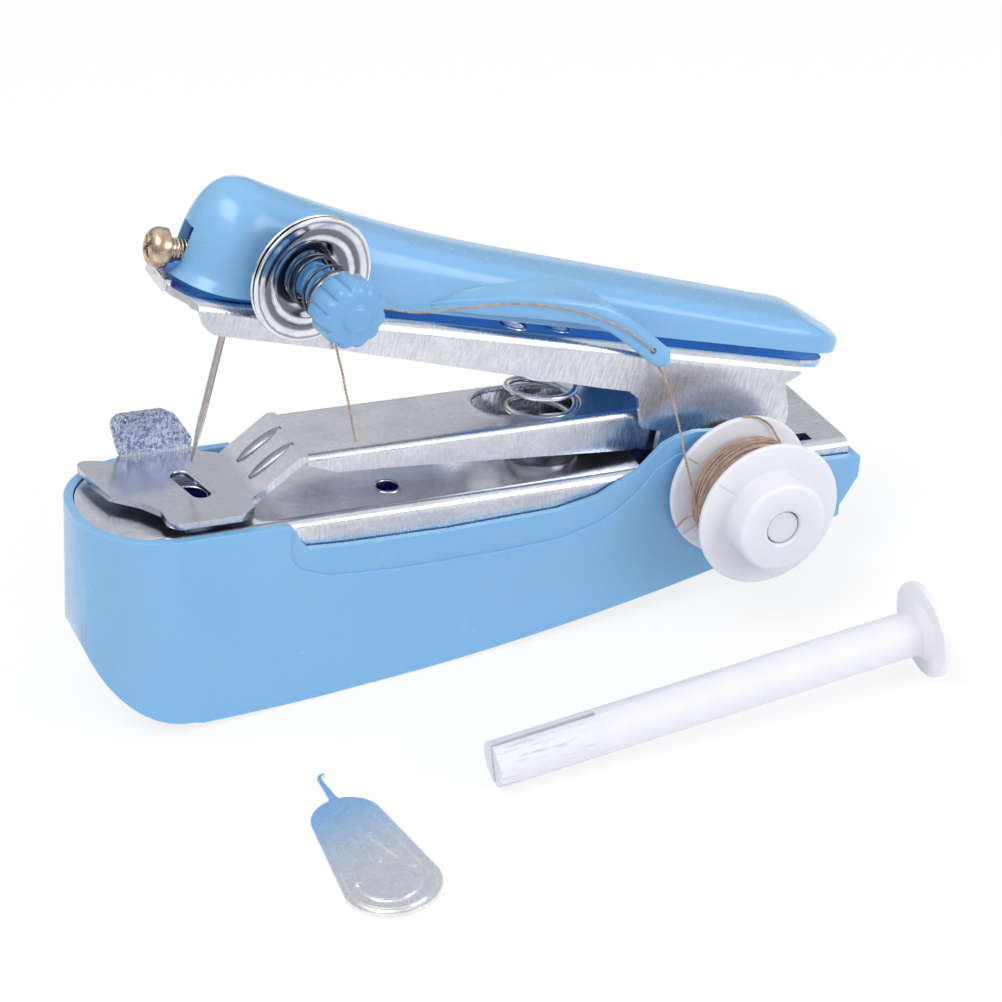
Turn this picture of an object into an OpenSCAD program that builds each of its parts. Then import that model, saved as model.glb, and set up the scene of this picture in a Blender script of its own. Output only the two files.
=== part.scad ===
// Hand-held sewing machine: a plastic base with a steel bed, a presser arm and a needle
// arm on one hinge, a thread bobbin beside the hinge, and two loose accessories.
// X runs from the needle to the hinge, Y away from the bobbin, Z up from the table.

/* [Base] */
// Length of the plastic base
base_len = 108.3; // [102:0.1:114]
// Width of the plastic base
base_w = 24.6; // [23.6:0.1:27]
// Wall of the plastic base
base_wall = 1.2; // [0.8:0.1:1.4]
// Depth of the base under the bed, at the nose end of its long curve
base_depth = 27; // [26:0.1:30]
// Radius of the long curve under the base
base_curve = 348; // [300:10:420]
// Nose-up tilt of the bed when the base stands on a table
bed_tilt = 6; // [5:0.1:6.5]
// Height of the rim's hump beside the hinge, over the bed
hump_h = 5.4; // [4:0.1:6]

/* [Bed] */
// Thickness of the bed's sheet
bed_t = 1.0; // [0.8:0.1:1.2]
// Gap between the bed and the inside of the base
bed_gap = 0.25; // [0.2:0.05:0.4]
// Depth of the bed's side flanges
bed_flange = 4.9; // [4.4:0.1:5.1]
// Diameter of the needle hole in the bed
needle_hole = 5.0; // [4.4:0.1:6]

/* [Hinge] */
// Hinge axis, behind the middle of the bed
hinge_x = 20; // [19:0.5:21]
// Hinge axis, below the bed's face
hinge_drop = 2.5; // [2.2:0.1:3]
// Outside diameter of the hollow hinge rivet
hinge_d = 7.0; // [6.8:0.1:7.4]
// Wall of the hollow hinge rivet
rivet_wall = 0.44; // [0.4:0.02:0.6]
// Running clearance on the radius at the hinge
hinge_play = 0.05; // [0.03:0.01:0.08]

/* [Presser arm] */
// Width of the presser arm
press_w = 13.3; // [12.4:0.1:13.8]
// Height of the presser arm over the bed
press_h = 6.83; // [6.4:0.01:7.2]
// Thickness of the presser's sheet
press_t = 0.9; // [0.7:0.1:1]
// Height of the foot's top face over the bed
foot_h = 2.0; // [1.8:0.1:2.4]
// Height of the bent-up thread tab on the foot
tab_h = 6.0; // [5:0.1:6.4]

/* [Needle arm] */
// Angle between the needle arm and the bed when it is open
arm_open = 12.84; // [12:0.01:14]
// Width of the needle arm
arm_w = 17.2; // [17:0.1:17.6]
// Thickness of the needle arm's sheet
arm_t = 1.0; // [0.8:0.1:1.1]
// Height of the arm's top face over the hinge axis
arm_h = 16.1; // [15.9:0.1:16.6]
// Reach of the arm's front end from the hinge axis
arm_reach = 83; // [82:0.1:84]
// Depth of the arm's side flanges at the front
arm_flange = 4.1; // [3.6:0.1:4.4]
// Radius of the arm's ears round the hinge
ear_r = 9.0; // [8.4:0.1:9.2]

/* [Cover] */
// Width of the cover at its nose
nose_w = 16.6; // [16:0.1:17]
// Width of the cover behind the tension discs
grip_w = 12.5; // [12:0.1:13.4]
// Height of the cover at its rear, over the hinge axis
grip_h = 20.8; // [20.5:0.1:22]
// Slope of the cover's top towards the nose, in mm per mm
grip_slope = 0.0563; // [0.05:0.0001:0.065]
// Radius of the rise towards the nose
nose_rise = 186; // [175:1:300]
// Wall of the cover
cover_wall = 1.3; // [1:0.1:1.6]
// Gap between the cover's edge and the arm
cover_gap = 0.8; // [0.6:0.1:1]

/* [Needle] */
// Distance of the needle from the hinge axis
needle_u = 72.2; // [71.8:0.1:72.6]
// Length of the needle
needle_len = 34.6; // [34:0.1:35.4]
// Diameter of the needle's blade
needle_d = 0.9; // [0.8:0.05:1]
// Diameter of the needle's shank
shank_d = 2.0; // [1.9:0.05:2.1]

/* [Thread tension] */
// Distance of the tension post from the hinge axis
post_u = 68.35; // [68:0.05:68.7]
// Height of the tension post over the hinge axis
post_n = 21.35; // [21:0.05:21.7]
// Diameter of the tension post
post_d = 4.8; // [4.4:0.1:5]
// Diameter of the tension discs
disc_d = 16.5; // [15:0.1:16.8]
// Diameter of the tension knob over its ribs
knob_d = 8.5; // [7.6:0.1:8.8]
// Number of ribs round the knob
knob_ribs = 11; // [9:1:13]

/* [Bobbin] */
// Diameter of the bobbin's flanges
bobbin_d = 20.5; // [19.5:0.1:21]
// Width of the bobbin between its outer faces
bobbin_w = 9.4; // [9:0.1:10]
// Diameter of the bobbin's hub
hub_d = 12.6; // [12:0.1:13.4]
// Length of the hub past the outer flange
hub_len = 4.0; // [3.5:0.1:4.5]
// Diameter of the wound thread
wound_d = 15.6; // [12:0.1:17]

/* [Main spring] */
// Outside diameter of the main spring
spring_d = 10.2; // [9.6:0.1:10.4]
// Wire of the main spring
spring_wire = 0.9; // [0.8:0.05:1.1]

/* [Accessories] */
// Length of the extension spindle's rod
rod_len = 60; // [56:1:70]
// Diameter of the extension spindle's flange
flange_d = 12.9; // [12.3:0.1:14]
// Length of the needle threader without its hook
threader_len = 24.6; // [22:0.1:26]
// Width of the needle threader
threader_w = 12.2; // [11:0.1:13]
// Thickness of the needle threader's sheet
threader_t = 0.5; // [0.4:0.1:0.6]

/* [Hidden] */
$fn = 48;
eps = 0.01;

// Where the bed's own frame stands in the model's frame
bed_x = 30;
land_cut = 0.08;                    // cut off the long curve, so that it stands on a flat land
bed_z = base_curve - 67.7 * sin(bed_tilt) - (base_curve - base_depth) * cos(bed_tilt) - land_cut;
front_x = 39.8 - base_len;          // front of the base in the bed's frame
rear_x = 39.8;
hinge_z = -hinge_drop;
hw = base_w / 2;                    // half-width of the base
bhw = hw - base_wall - bed_gap;     // half-width of the bed
nose_r = 11.4;                      // corner of the base's nose, seen from above
rim_up = 0.3;                       // rim over the bed at the nose
step_x = -43.3;                     // where the rim steps down
rim_low = -3.8;                     // rim along the presser arm
tube_r = hinge_d / 2;
bore_r = tube_r + hinge_play;
tube_in = tube_r - rivet_wall;      // bore of the rivet for the bobbin pin
pin_play = 0.06;                    // clearance of the pin in that bore
pin_d = 2 * (tube_in - pin_play);   // the bobbin pin fills the rivet

// Presser arm
phw = press_w / 2;
bend_x = -40;                       // bend of the presser arm into its ramp
foot_x0 = -60;                      // front of the foot
slot_x = -52.6;                     // needle slot in the foot

// Needle arm
ahw = arm_w / 2;
plate_n = arm_h;                    // top face of the arm's plate
cover_n = arm_h + cover_gap;        // lower edge of the cover
ear_gap = 0.35;

// Half-width of the cover's lower edge, front to rear
nose_u = -81.8;
edge_w = let (a = nose_w / 2, b = grip_w / 2) [[nose_u, 0.12 * a], [nose_u + 0.12, 0.28 * a],
    [nose_u + 1.1, 0.53 * a], [nose_u + 2.2, 0.73 * a], [nose_u + 3.5, 0.87 * a], [nose_u + 5.2, 0.96 * a],
    [nose_u + 7.2, a], [-71.5, a * 0.86 + b * 0.14], [-68, a * 0.72 + b * 0.28],
    [-64, a * 0.55 + b * 0.45], [-60, a * 0.38 + b * 0.62], [-54, a * 0.12 + b * 0.88], [-48, b], [-40, b],
    [-30, b], [-20, b], [-10, b], [0, b], [6, b], [9.4, b], [12.4, b * 0.98], [14.8, b * 0.77],
    [16.2, b * 0.42], [16.8, b * 0.1]];
function cover_w(u) = lookup(u, edge_w);

// Tension parts along -Y, from the cover outwards
post_turn = 7;                      // the post leans back with the side of the nose
disc_turn = 4;                      // the discs lean back a little more
side_y = cover_w(1 - post_u) * 0.97;  // side of the cover at the post
disc_y = side_y + 1.6;              // back of the back disc
knob_len = 5.2;
knob_y = disc_y + 13.5;             // outer face of the knob
key_t = 0.6;

// Bobbin
bob_y = hw + 1.2;                   // inner face of the bobbin
core_r = 4.4;

// The bed's frame, the hinge's frame and the needle arm's frame
module on_bed() translate([bed_x, 0, bed_z]) rotate([0, bed_tilt, 0]) children();
module on_hinge() on_bed() translate([hinge_x, 0, hinge_z]) children();
module on_arm() on_hinge() rotate([0, arm_open, 0]) children();
// An XZ outline given a thickness from y0 to y1
module side_slab(y0, y1) translate([0, y1, 0]) rotate([90, 0, 0]) linear_extrude(y1 - y0) children();
// A cylinder along Y from y0 to y1
module y_rod(r, y0, y1) translate([0, y0, 0]) rotate([-90, 0, 0]) cylinder(r = r, h = y1 - y0);
// A cylinder along X from x0 to x1
module x_rod(r, x0, x1) translate([x0, 0, 0]) rotate([0, 90, 0]) cylinder(r = r, h = x1 - x0);
// Points of an arc
function arc(cx, cy, r, a0, a1, n) = [for (i = [0 : n]) let (a = a0 + (a1 - a0) * i / n)
    [cx + r * cos(a), cy + r * sin(a)]];
// A plate seen from above with two rounded corners at its low-X end
module nosed(x0, x1, w, r) {
    translate([x0 + r, -w]) square([x1 - x0 - r, 2 * w]);
    translate([x0, -w + r]) square([r + eps, 2 * (w - r)]);
    for (s = [-1, 1]) translate([x0 + r, s * (w - r)]) circle(r);
}
// An outline with its outer corners rounded by r and its inner ones by q
module eased(r, q) offset(r = -q, $fn = 40) offset(r = r + q, $fn = 40) offset(delta = -r) children();
// Section of a sheet channel, open downwards, with rounded bends
module channel2d(w, depth, t, r) polygon(concat(
    [[-w, -depth]], arc(-w + r, -r, r, 180, 90, 5), arc(w - r, -r, r, 90, 0, 5), [[w, -depth]],
    [[w - t, -depth]], arc(w - r, -r, r - t, 0, 90, 5), arc(-w + r, -r, r - t, 90, 180, 5),
    [[-w + t, -depth]]));
module channel(x0, x1, w, depth, t, r) translate([x0, 0, 0]) rotate([90, 0, 90])
    linear_extrude(x1 - x0) channel2d(w, depth, t, r);

// A round wire along a path, as one swept mesh
function unit(v) = v / norm(v);
function frame_side(t) = unit(cross(t, abs(t[1]) < 0.9 ? [0, 1, 0] : [1, 0, 0]));
module wire(path, r, sides = 8) {
    n = len(path);
    tang = [for (i = [0 : n - 1]) unit(path[min(i + 1, n - 1)] - path[max(i - 1, 0)])];
    pts = [for (i = [0 : n - 1]) let (s = frame_side(tang[i]), c = cross(tang[i], s))
        for (k = [0 : sides - 1]) path[i] + r * (cos(360 * k / sides) * s + sin(360 * k / sides) * c)];
    faces = concat([[for (k = [0 : sides - 1]) k]],
        [[for (k = [0 : sides - 1]) n * sides - 1 - k]],
        [for (i = [0 : n - 2]) for (k = [0 : sides - 1]) let (k2 = (k + 1) % sides)
            [i * sides + k, (i + 1) * sides + k, (i + 1) * sides + k2, i * sides + k2]]);
    polyhedron(pts, faces, convexity = 6);
}
// Path of a coil spring along Z: one closed turn at each end, open turns between
function spring_z(a, turns, h, w) = let (e = 360, whole = 360 * turns, p = h - 2 * w)
    a < e ? w * a / e : a > whole - e ? h - w * (whole - a) / e
    : w + p * (a - e) / (whole - 2 * e);
function coil(r, turns, h, w, per) = [for (i = [0 : turns * per]) let (a = 360 * i / per)
    [r * cos(a), r * sin(a), spring_z(a, turns, h - w, w) + w / 2]];

// Side outline of the base in the bed's frame, inset by d
module base_side(d) intersection() {
    translate([front_x, 0]) polygon(concat([for (a = [180 : 7.5 : 270])
        [13 + (13 - d) * cos(a), -14 + (base_depth - 14.5 - d) * sin(a)]],
        [[20, -base_depth - 1], [base_len - 2.4 - d, -base_depth - 1], [base_len - 2.4 - d, -9.2],
        [base_len - d, -5], [base_len - d, 12], [d, 12]]));
    translate([-67.7, base_curve - base_depth]) circle(base_curve - d, $fn = 720);
}
module base_block(d) intersection() {
    side_slab(-hw - 1, hw + 1) base_side(d);
    translate([0, 0, -60]) linear_extrude(90) nosed(front_x + d, rear_x - d, hw - d, nose_r - d);
}
// What is cut off above the rim
module above_rim(drop) side_slab(-hw - 2, hw + 2) polygon([[front_x - 2, rim_up - drop],
    [step_x, rim_up - drop], [step_x + 1, -0.6 - drop], [step_x + 1.7, -2.3 - drop],
    [step_x + 2.8, rim_low + 0.3 - drop], [step_x + 8, rim_low - drop], [-21, rim_low - 0.2 - drop],
    [-5.5, rim_low + 0.3 - drop], [0.2, -2.3 - drop], [5.8, 0.7 - drop], [9.2, hump_h - 1.3 - drop],
    [11.3, hump_h - 0.4 - drop], [13.8, hump_h - drop], [17, hump_h - 0.3 - drop],
    [22, hump_h - 1.8 - drop], [27, hump_h - 3.7 - drop], [31, -1.7 - drop], [rear_x + 2, -2.0 - drop],
    [rear_x + 2, 30], [front_x - 2, 30]]);
screw_pos = [[-38, 7], [1, 7]];     // screws that hold the bed down
// underside of the base at x
function base_z(x) = base_curve - base_depth - sqrt(pow(base_curve, 2) - pow(x + 67.7, 2));
module base_shell() color([0.47, 0.71, 0.89]) difference() {
    on_bed() union() {
        difference() {
            base_block(0);
            base_block(base_wall);
            above_rim(0);
            // the upper band of the side walls stands back a little
            for (s = [-1, 1]) difference() {
                side_slab(s > 0 ? hw - 0.3 : -hw - 1, s > 0 ? hw + 1 : -hw + 0.3)
                    polygon([[step_x + 0.2, 9], [step_x + 0.2, -4.3], [step_x + 1.6, -6.3],
                        [step_x + 5.7, -7.8], [-28, -8.3], [-13.9, -8.1], [-5.2, -7.6], [0.5, -6],
                        [3.3, -4.4], [6.1, -2], [8.2, 0.6], [11, 2.4], [15, 3], [20, 9]]);
            }
        }
        // posts under the bed
        for (p = screw_pos) translate([p[0], p[1], 0]) intersection() {
            translate([0, 0, -40]) cylinder(r = 2.4, h = 40 - bed_t - 0.05);
            translate([-p[0], -p[1], 0]) base_block(0.2);
        }
        // bosses round the hinge
        for (s = [0, 1]) mirror([0, s, 0]) translate([hinge_x, 0, hinge_z])
            y_rod(tube_r + 2.2, hw - base_wall - 0.15, hw - 0.05);
    }
    // the land that it stands on, level with the table
    translate([-100, -50, -30]) cube([220, 100, 30]);
    on_hinge() y_rod(tube_r + 0.02, -hw - 1, hw + 1);
    on_bed() for (p = screw_pos) translate([p[0], p[1], 0]) {
        translate([0, 0, -45]) cylinder(r = 0.97, h = 45);
        translate([0, 0, -60]) cylinder(r = 1.95, h = 60 + base_z(p[0]) + 2.4);
    }
}
// Steel bed: a channel let into the base, open for both arms round the hinge
module bed_plate() color([0.80, 0.81, 0.84]) on_bed() difference() {
    union() {
        intersection() {
            channel(front_x + base_wall + 0.1, rear_x - 1.2, bhw, bed_flange, bed_t, 1.4);
            translate([0, 0, -20]) linear_extrude(30)
                nosed(front_x + base_wall + 0.1, rear_x, bhw, nose_r - base_wall - 0.1);
        }
        for (s = [0, 1]) mirror([0, s, 0]) translate([hinge_x, 0, hinge_z])
            y_rod(tube_r + 3, bhw - bed_t, bhw);
    }
    // window for the presser arm and slots for the needle arm's ears
    translate([hinge_x - 12.5, -phw - 0.5, -30]) cube([22.5, 2 * phw + 1, 40]);
    for (s = [0, 1]) mirror([0, s, 0]) translate([hinge_x - 12.7, ahw - arm_t - 0.6, -30])
        cube([26.4, arm_t + 1.1, 40]);
    translate([slot_x, 0, -5]) cylinder(d = needle_hole, h = 10);
    translate([-27.3, -5, -5]) cylinder(d = 3.5, h = 10);
    translate([-27.3, 5, -5]) cylinder(d = 3.5, h = 10);
    for (p = screw_pos) translate([p[0], p[1], -5]) cylinder(r = 0.97, h = 10);
    translate([spring_x, 0, -5]) cylinder(r = 1.52, h = 10);
    translate([piv_x, piv_y, -5]) cylinder(r = 1.02, h = 10);
    for (x = guide_x) for (s = [-1, 1]) translate([x, link_y + s * guide_off, -5]) cylinder(r = 0.62, h = 4.5);
    translate([hinge_x, 0, hinge_z]) y_rod(tube_r + 0.05, -30, 30);
}
// Two screws from below into the bed
module bed_screws() color([0.72, 0.72, 0.74]) on_bed() for (p = screw_pos)
    translate([p[0], p[1], 0]) difference() {
        union() {
            translate([0, 0, base_z(p[0]) + 2.38]) mirror([0, 0, 1]) cylinder(r1 = 1.9, r2 = 1.6, h = 1.3);
            translate([0, 0, base_z(p[0]) + 2]) cylinder(r = 0.95, h = -base_z(p[0]) - 2);
        }
        for (a = [0, 90]) translate([0, 0, base_z(p[0]) + 1.1]) rotate([0, 0, a])
            cube([2.4, 0.5, 1.4], center = true);
    }
// Hollow rivet that both arms turn on
module hinge_rivet() color([0.78, 0.79, 0.82]) on_hinge() difference() {
    union() {
        y_rod(tube_r, -hw - 0.6, hw + 0.6);
        for (s = [0, 1]) mirror([0, s, 0]) y_rod(tube_r + 1.1, hw + 0.02, hw + 0.6);
    }
    y_rod(tube_in, -hw - 1, hw + 1);
}

// Presser arm with its ramp and foot, one stamping
ramp_x = -46.4;                     // foot of the ramp
foot_off = -1.2;                    // the foot's middle, off the arm's middle
foot_hw = 9.4;
tab_y = ahw + 1.2;                  // outer face of the tab, clear of the needle arm
module presser_arm() color([0.80, 0.81, 0.84]) on_bed() difference() {
    union() {
        intersection() {
            translate([0, 0, press_h]) channel(bend_x + 1, hinge_x + 5, phw, 20, press_t, 1.05);
            side_slab(-20, 20) polygon([[bend_x, press_h + 1], [bend_x, press_h - 1.0],
                [bend_x + 2.4, press_h - 1.8], [bend_x + 5, 4.0], [bend_x + 11, 3.7],
                [9, 0.9], [13.6, 0.5], [15.2, -0.6], [15.4, -4], [hinge_x - 4.2, hinge_z - 4.2],
                [hinge_x + 4.6, hinge_z - 4.2], [hinge_x + 4.6, press_h - 3], [hinge_x + 1, press_h + 1]]);
        }
        for (s = [0, 1]) mirror([0, s, 0]) translate([hinge_x, 0, hinge_z])
            y_rod(tube_r + 2.4, phw - press_t, phw);
        // ramp down to the foot
        side_slab(-phw, phw) polygon([[bend_x + 1.1, press_h], [bend_x, press_h], [ramp_x, foot_h],
            [ramp_x - 0.2, foot_h - press_t], [ramp_x + 0.55, foot_h - press_t],
            [bend_x + 0.55, press_h - press_t], [bend_x + 1.1, press_h - press_t]]);
        // foot with its forked nose
        translate([0, 0, foot_h - press_t]) linear_extrude(press_t) translate([0, foot_off]) {
            eased(1.15, 0.6) polygon([[ramp_x + 0.1, -5.3], [ramp_x - 0.3, -7.6], [ramp_x - 2.3, -foot_hw],
                [-57.2, -foot_hw],
                [-58.4, -8], [-58.4, -5.3], [-60.2, -2.4], [-63.4, 0.6], [-64.4, 4.4], [-65.2, 10.9],
                [-61.8, 10], [-60.2, 8.4], [-59.2, tab_y - foot_off], [-49.4, tab_y - foot_off],
                [-48.6, 9], [ramp_x + 0.1, 7.7]]);
        }
        // thread tab bent up at the far edge
        translate([0, tab_y, 0]) side_slab(-press_t, 0) eased(1.5, 0.2) polygon([[-59.2, foot_h - 0.4],
            [-49.6, foot_h - 0.4], [-49.4, foot_h + 1.5], [-51.6, foot_h + tab_h - 1], [-53.4, foot_h + tab_h],
            [-59.6, foot_h + tab_h], [-60.4, foot_h + tab_h - 1]]);
        // tooth lanced down at the near edge
        translate([-56.4, foot_off - foot_hw + 0.6, foot_h - 1.5]) cube([0.7, 3.4, 1.2]);
    }
    // window for the spring, needle slot, hinge bore
    translate([-6, 1.1, 0]) linear_extrude(20) {
        translate([-2.8, 0]) circle(4.4);
        translate([-2.8, -4.4]) square([5, 8.8]);
    }
    translate([spring_x + 6.5 * tan(spring_lean), 0, 0]) cylinder(r = spring_d / 2 + 0.4, h = 20);
    translate([slot_x - 0.1, foot_off + 0.5, -5]) rotate([0, 0, 12]) linear_extrude(12) {
        for (s = [-1, 1]) translate([0, s * 2.7]) circle(1.5);
        translate([-1.5, -2.7]) square([3, 5.4]);
    }
    translate([hinge_x, 0, hinge_z]) y_rod(bore_r, -30, 30);
}

// Main spring between the bed and the needle arm, its stud and its cap
spring_lean = -4;
spring_turns = 7.5;
stud_h = 3.0;
cap_u = -28.5;                      // where the spring's top meets the arm
cap_n = plate_n - arm_t;
spring_h = hinge_z - cap_u * sin(arm_open) + cap_n * cos(arm_open) - 0.06;
spring_x = hinge_x + cap_u * cos(arm_open) + cap_n * sin(arm_open) - spring_h * tan(spring_lean);
module main_spring() color([0.75, 0.76, 0.79]) on_bed() translate([spring_x, 0, 0.04])
    wire([for (p = coil(spring_d / 2 - spring_wire / 2, spring_turns, spring_h, spring_wire, 22))
        [p[0] + p[2] * tan(spring_lean), p[1], p[2] - p[0] * tan(arm_open) * p[2] / spring_h]],
        spring_wire / 2);
module spring_stud() color([0.75, 0.76, 0.79]) on_bed() translate([spring_x, 0, 0]) {
    translate([0, 0, -bed_t - 0.6]) cylinder(r = 2.4, h = 0.58);
    translate([0, 0, -bed_t - 0.1]) cylinder(r = 1.5, h = bed_t + 0.1 + stud_h);
    translate([0, 0, 0.02]) cylinder(r = 2.6, h = 0.5);
}
// peg under the arm that keeps the spring's top in place
module spring_cap() color([0.75, 0.76, 0.79]) on_arm() translate([cap_u, 0, cap_n]) {
    translate([0, 0, -3.2]) cylinder(r = 2.2, h = 3.18);
    translate([0, 0, -0.1]) cylinder(r = 0.97, h = 0.9);
}

// Needle arm: a channel with two ears that go down through the bed to the hinge
module arm_side() polygon([[-arm_reach - 1, plate_n + 1], [-arm_reach - 1, plate_n - arm_t - 0.3],
    [-79.5, plate_n - arm_t - 0.3], [-79.1, plate_n - 2.2], [-78.6, plate_n - 3.0], [-77.9, plate_n - 3.6],
    [-77.0, plate_n - 4.0], [-75.9, plate_n - arm_flange],
    [-60, 11.7], [-22, 9.9], [-17.6, 9.8], [-15.9, 8.9], [-15.1, 7.3], [-13.9, 4.7], [-11, 4.5],
    [-10.6, -0.4], [-ear_r + 0.6, -3.6], [0, -2], [ear_r - 0.4, 0], [8.6, 7.2], [7.3, 10.3], [6, 13.1],
    [8.2, plate_n - arm_t - 0.3], [13.2, plate_n - arm_t - 0.3], [13.2, plate_n + 1]]);
module needle_arm() color([0.80, 0.81, 0.84]) on_arm() difference() {
    union() {
        intersection() {
            translate([0, 0, plate_n]) channel(-arm_reach, 12.9, ahw, 40, arm_t, 1.8);
            side_slab(-30, 30) arm_side();
            linear_extrude(40, center = true) polygon(concat(
                arc(-arm_reach + 12, 0, 12, 136, 224, 8),
                [[-77, -20], [8, -20], [8, -ahw + 1.4], [11, -ahw + 1.9], [12.5, -ahw + 3.2],
                [12.9, -4.5], [12.9, 4.5], [12.5, ahw - 3.2], [11, ahw - 1.9], [8, ahw - 1.4], [8, 20],
                [-77, 20]]));
        }
        intersection() {
            for (s = [0, 1]) mirror([0, s, 0]) y_rod(ear_r, ahw - arm_t, ahw);
            translate([-20, -20, -20]) cube([40, 40, 24]);
        }
        // lip bent up in front, below the screw
        translate([-arm_reach + 0.1, -3.4, plate_n - arm_t]) cube([1, 6.8, arm_t + 0.5]);
    }
    y_rod(bore_r, -30, 30);
    // needle hole, post clearance, tabs of the cover, two rimmed holes
    translate([-needle_u, 0, 0]) cylinder(r = 2.1, h = 30);
    for (u = [-35.2, -28.4]) translate([u, u < -30 ? -4.9 : -4.1, 0]) cylinder(d = 3.4, h = 30);
    for (u = rivet_u) translate([u, 0, 0]) cylinder(r = 1.12, h = 30);
    translate([cap_u, 0, 0]) cylinder(r = 1.0, h = 30);
    rotate([0, stud_a, 0]) translate([0, 0, -stud_r]) y_rod(1.12, ahw - arm_t - 1, ahw + 1);
}
// Stud on one ear that drives the looper's link
stud_r = 7.3;                       // from the hinge axis
stud_a = -arm_open / 2 - 0;         // swings evenly past the lowest point
module link_stud() color([0.75, 0.76, 0.79]) on_arm() rotate([0, stud_a, 0]) translate([0, 0, -stud_r]) {
    y_rod(1.1, link_y + 0.3, ahw + 0.02);
    y_rod(1.6, ahw - arm_t - 0.7, ahw - arm_t - 0.02);
}

// Top line of the cover over the arm, at distance u
function top_n(u) = min(29.27, grip_h + grip_slope * (9.4 - u) + pow(max(0, -36 - u), 2) / (2 * nose_rise))
    - 0.36 * max(0, u - 9.4) - (u > 9.4 ? grip_slope * (9.4 - u) : 0);
// Height and width of the rounded upper corners
function corner_n(u) = lookup(u, [[-82, 10.9], [-70, 10], [-50, 3.8], [-30, 3], [6, 2.6], [12, 1.1],
    [17, 0.7]]);
function corner_y(u) = lookup(u, [[-82, 0.77], [-70, 0.75], [-50, 0.54], [-30, 0.48], [6, 0.44], [12, 0.3],
    [17, 0.3]]);
crown = 0.35;
// The cover as rings of points from its edge up to its roof, inset by d
module cover_form(d) {
    m = len(edge_w);
    n = 2 * m;
    loop = concat([for (p = edge_w) [p[0], -p[1]]], [for (i = [m - 1 : -1 : 0]) [edge_w[i][0], edge_w[i][1]]]);
    plan = [for (k = [0 : n - 1]) let (t = unit(loop[(k + 1) % n] - loop[(k + n - 1) % n]))
        loop[k] + d * [-t[1], t[0]]];
    roof = [for (p = plan) [p[0] + 0.50 * max(0, -70 - p[0]) - 0.15 * max(0, p[0] - 12),
        p[1] * (1 - corner_y(p[0]))]];
    low = cover_n - (d > 0 ? 1 : 0);
    top = [for (q = roof) top_n(q[0]) - d];
    rad = [for (k = [0 : n - 1]) max(0.2, min(corner_n(plan[k][0]) - d * 0.6, top[k] - cover_n - 0.3))];
    lean = [for (p = plan) 0.05 + 0.15 * max(0, min(1, (-72 - p[0]) / 8))];
    first = [for (k = [0 : n - 1]) plan[k] + (roof[k] - plan[k]) * lean[k]];
    pts = concat([for (p = plan) [p[0], p[1], low]],
        [for (a = [0 : 15 : 90]) for (k = [0 : n - 1]) let (q = first[k] + (roof[k] - first[k]) * (1 - cos(a)))
            [q[0], q[1], top[k] - rad[k] + rad[k] * sin(a)]],
        [for (k = [0 : m - 1]) [roof[k][0], 0, top[k] + crown]]);
    s0 = 8 * n;
    faces = concat([[for (k = [0 : n - 1]) k]],
        [for (j = [0 : 6]) for (k = [0 : n - 1]) let (k2 = (k + 1) % n)
            [j * n + k, (j + 1) * n + k, (j + 1) * n + k2]],
        [for (j = [0 : 6]) for (k = [0 : n - 1]) let (k2 = (k + 1) % n)
            [j * n + k, (j + 1) * n + k2, j * n + k2]],
        [for (k = [0 : m - 2]) each [[7 * n + k, s0 + k, s0 + k + 1], [7 * n + k, s0 + k + 1, 7 * n + k + 1],
            [s0 + k, 8 * n - 1 - k, 8 * n - 2 - k], [s0 + k, 8 * n - 2 - k, s0 + k + 1]]],
        [[8 * n - 1, s0, 7 * n], [7 * n + m - 1, s0 + m - 1, 7 * n + m]]);
    polyhedron(pts, faces, convexity = 6);
}
rivet_u = [-50, 2];                 // rivets that hold the cover
// thread guide: a fin on the near side, joined to the cover by a ledge, that ends in a tongue
guide = [[-49, -grip_w / 2 - 0.1, 17.8, 0.9], [-38, -8.4, 19.8, 1.5], [-28, -10.0, 20.5, 1.5],
    [-24.6, -10.5, 20.3, 1.45], [-15.6, -10.7, 15.8, 1.5]];
guide_hole = [-17.5, 16.8];
module top_cover() color([0.47, 0.71, 0.89]) on_arm() difference() {
    union() {
        difference() {
            cover_form(0);
            cover_form(cover_wall);
            // slot for the clamp screw
            translate([nose_u - 1, -1.7, 0]) cube([4, 3.4, 23]);
        }
        for (u = rivet_u) translate([u, 0, plate_n + 0.02]) cylinder(r = 2.6, h = top_n(u) - 0.6 - plate_n);
        for (i = [0 : len(guide) - 2]) hull() for (j = [i, i + 1])
            translate([guide[j][0], guide[j][1], guide[j][2]]) rotate([90, 0, 0])
            cylinder(r = guide[j][3], h = 1.2, center = true, $fn = 24);
        for (i = [0 : 2]) hull() for (j = [i, i + 1]) for (y = [guide[j][1] + 0.15, -5.3])
            translate([guide[j][0] + (j == 3 ? -1 : 0), y, guide[j][2] + guide[j][3] - (y < -5.3 ? 0.5 : 0.1)])
                rotate([0, 90, 0]) cylinder(r = 0.45, h = 0.1, $fn = 12);
    }
    for (u = rivet_u) translate([u, 0, 0]) cylinder(r = 1.12, h = plate_n + 4.2);
    translate([-post_u, 0, post_n]) rotate([0, 0, post_turn]) y_rod(post_d / 2 - 0.6 + 0.03, -20, 0);
    translate([guide_hole[0], -10.5, guide_hole[1]]) y_rod(0.5, -4, 4);
}
module cover_rivets() color([0.78, 0.79, 0.82]) on_arm() for (u = rivet_u) translate([u, 0, 0]) {
    translate([0, 0, plate_n - arm_t - 0.1]) cylinder(r = 1.1, h = arm_t + 4);
    translate([0, 0, plate_n - arm_t - 0.7]) cylinder(r = 2.0, h = 0.68);
}

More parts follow.
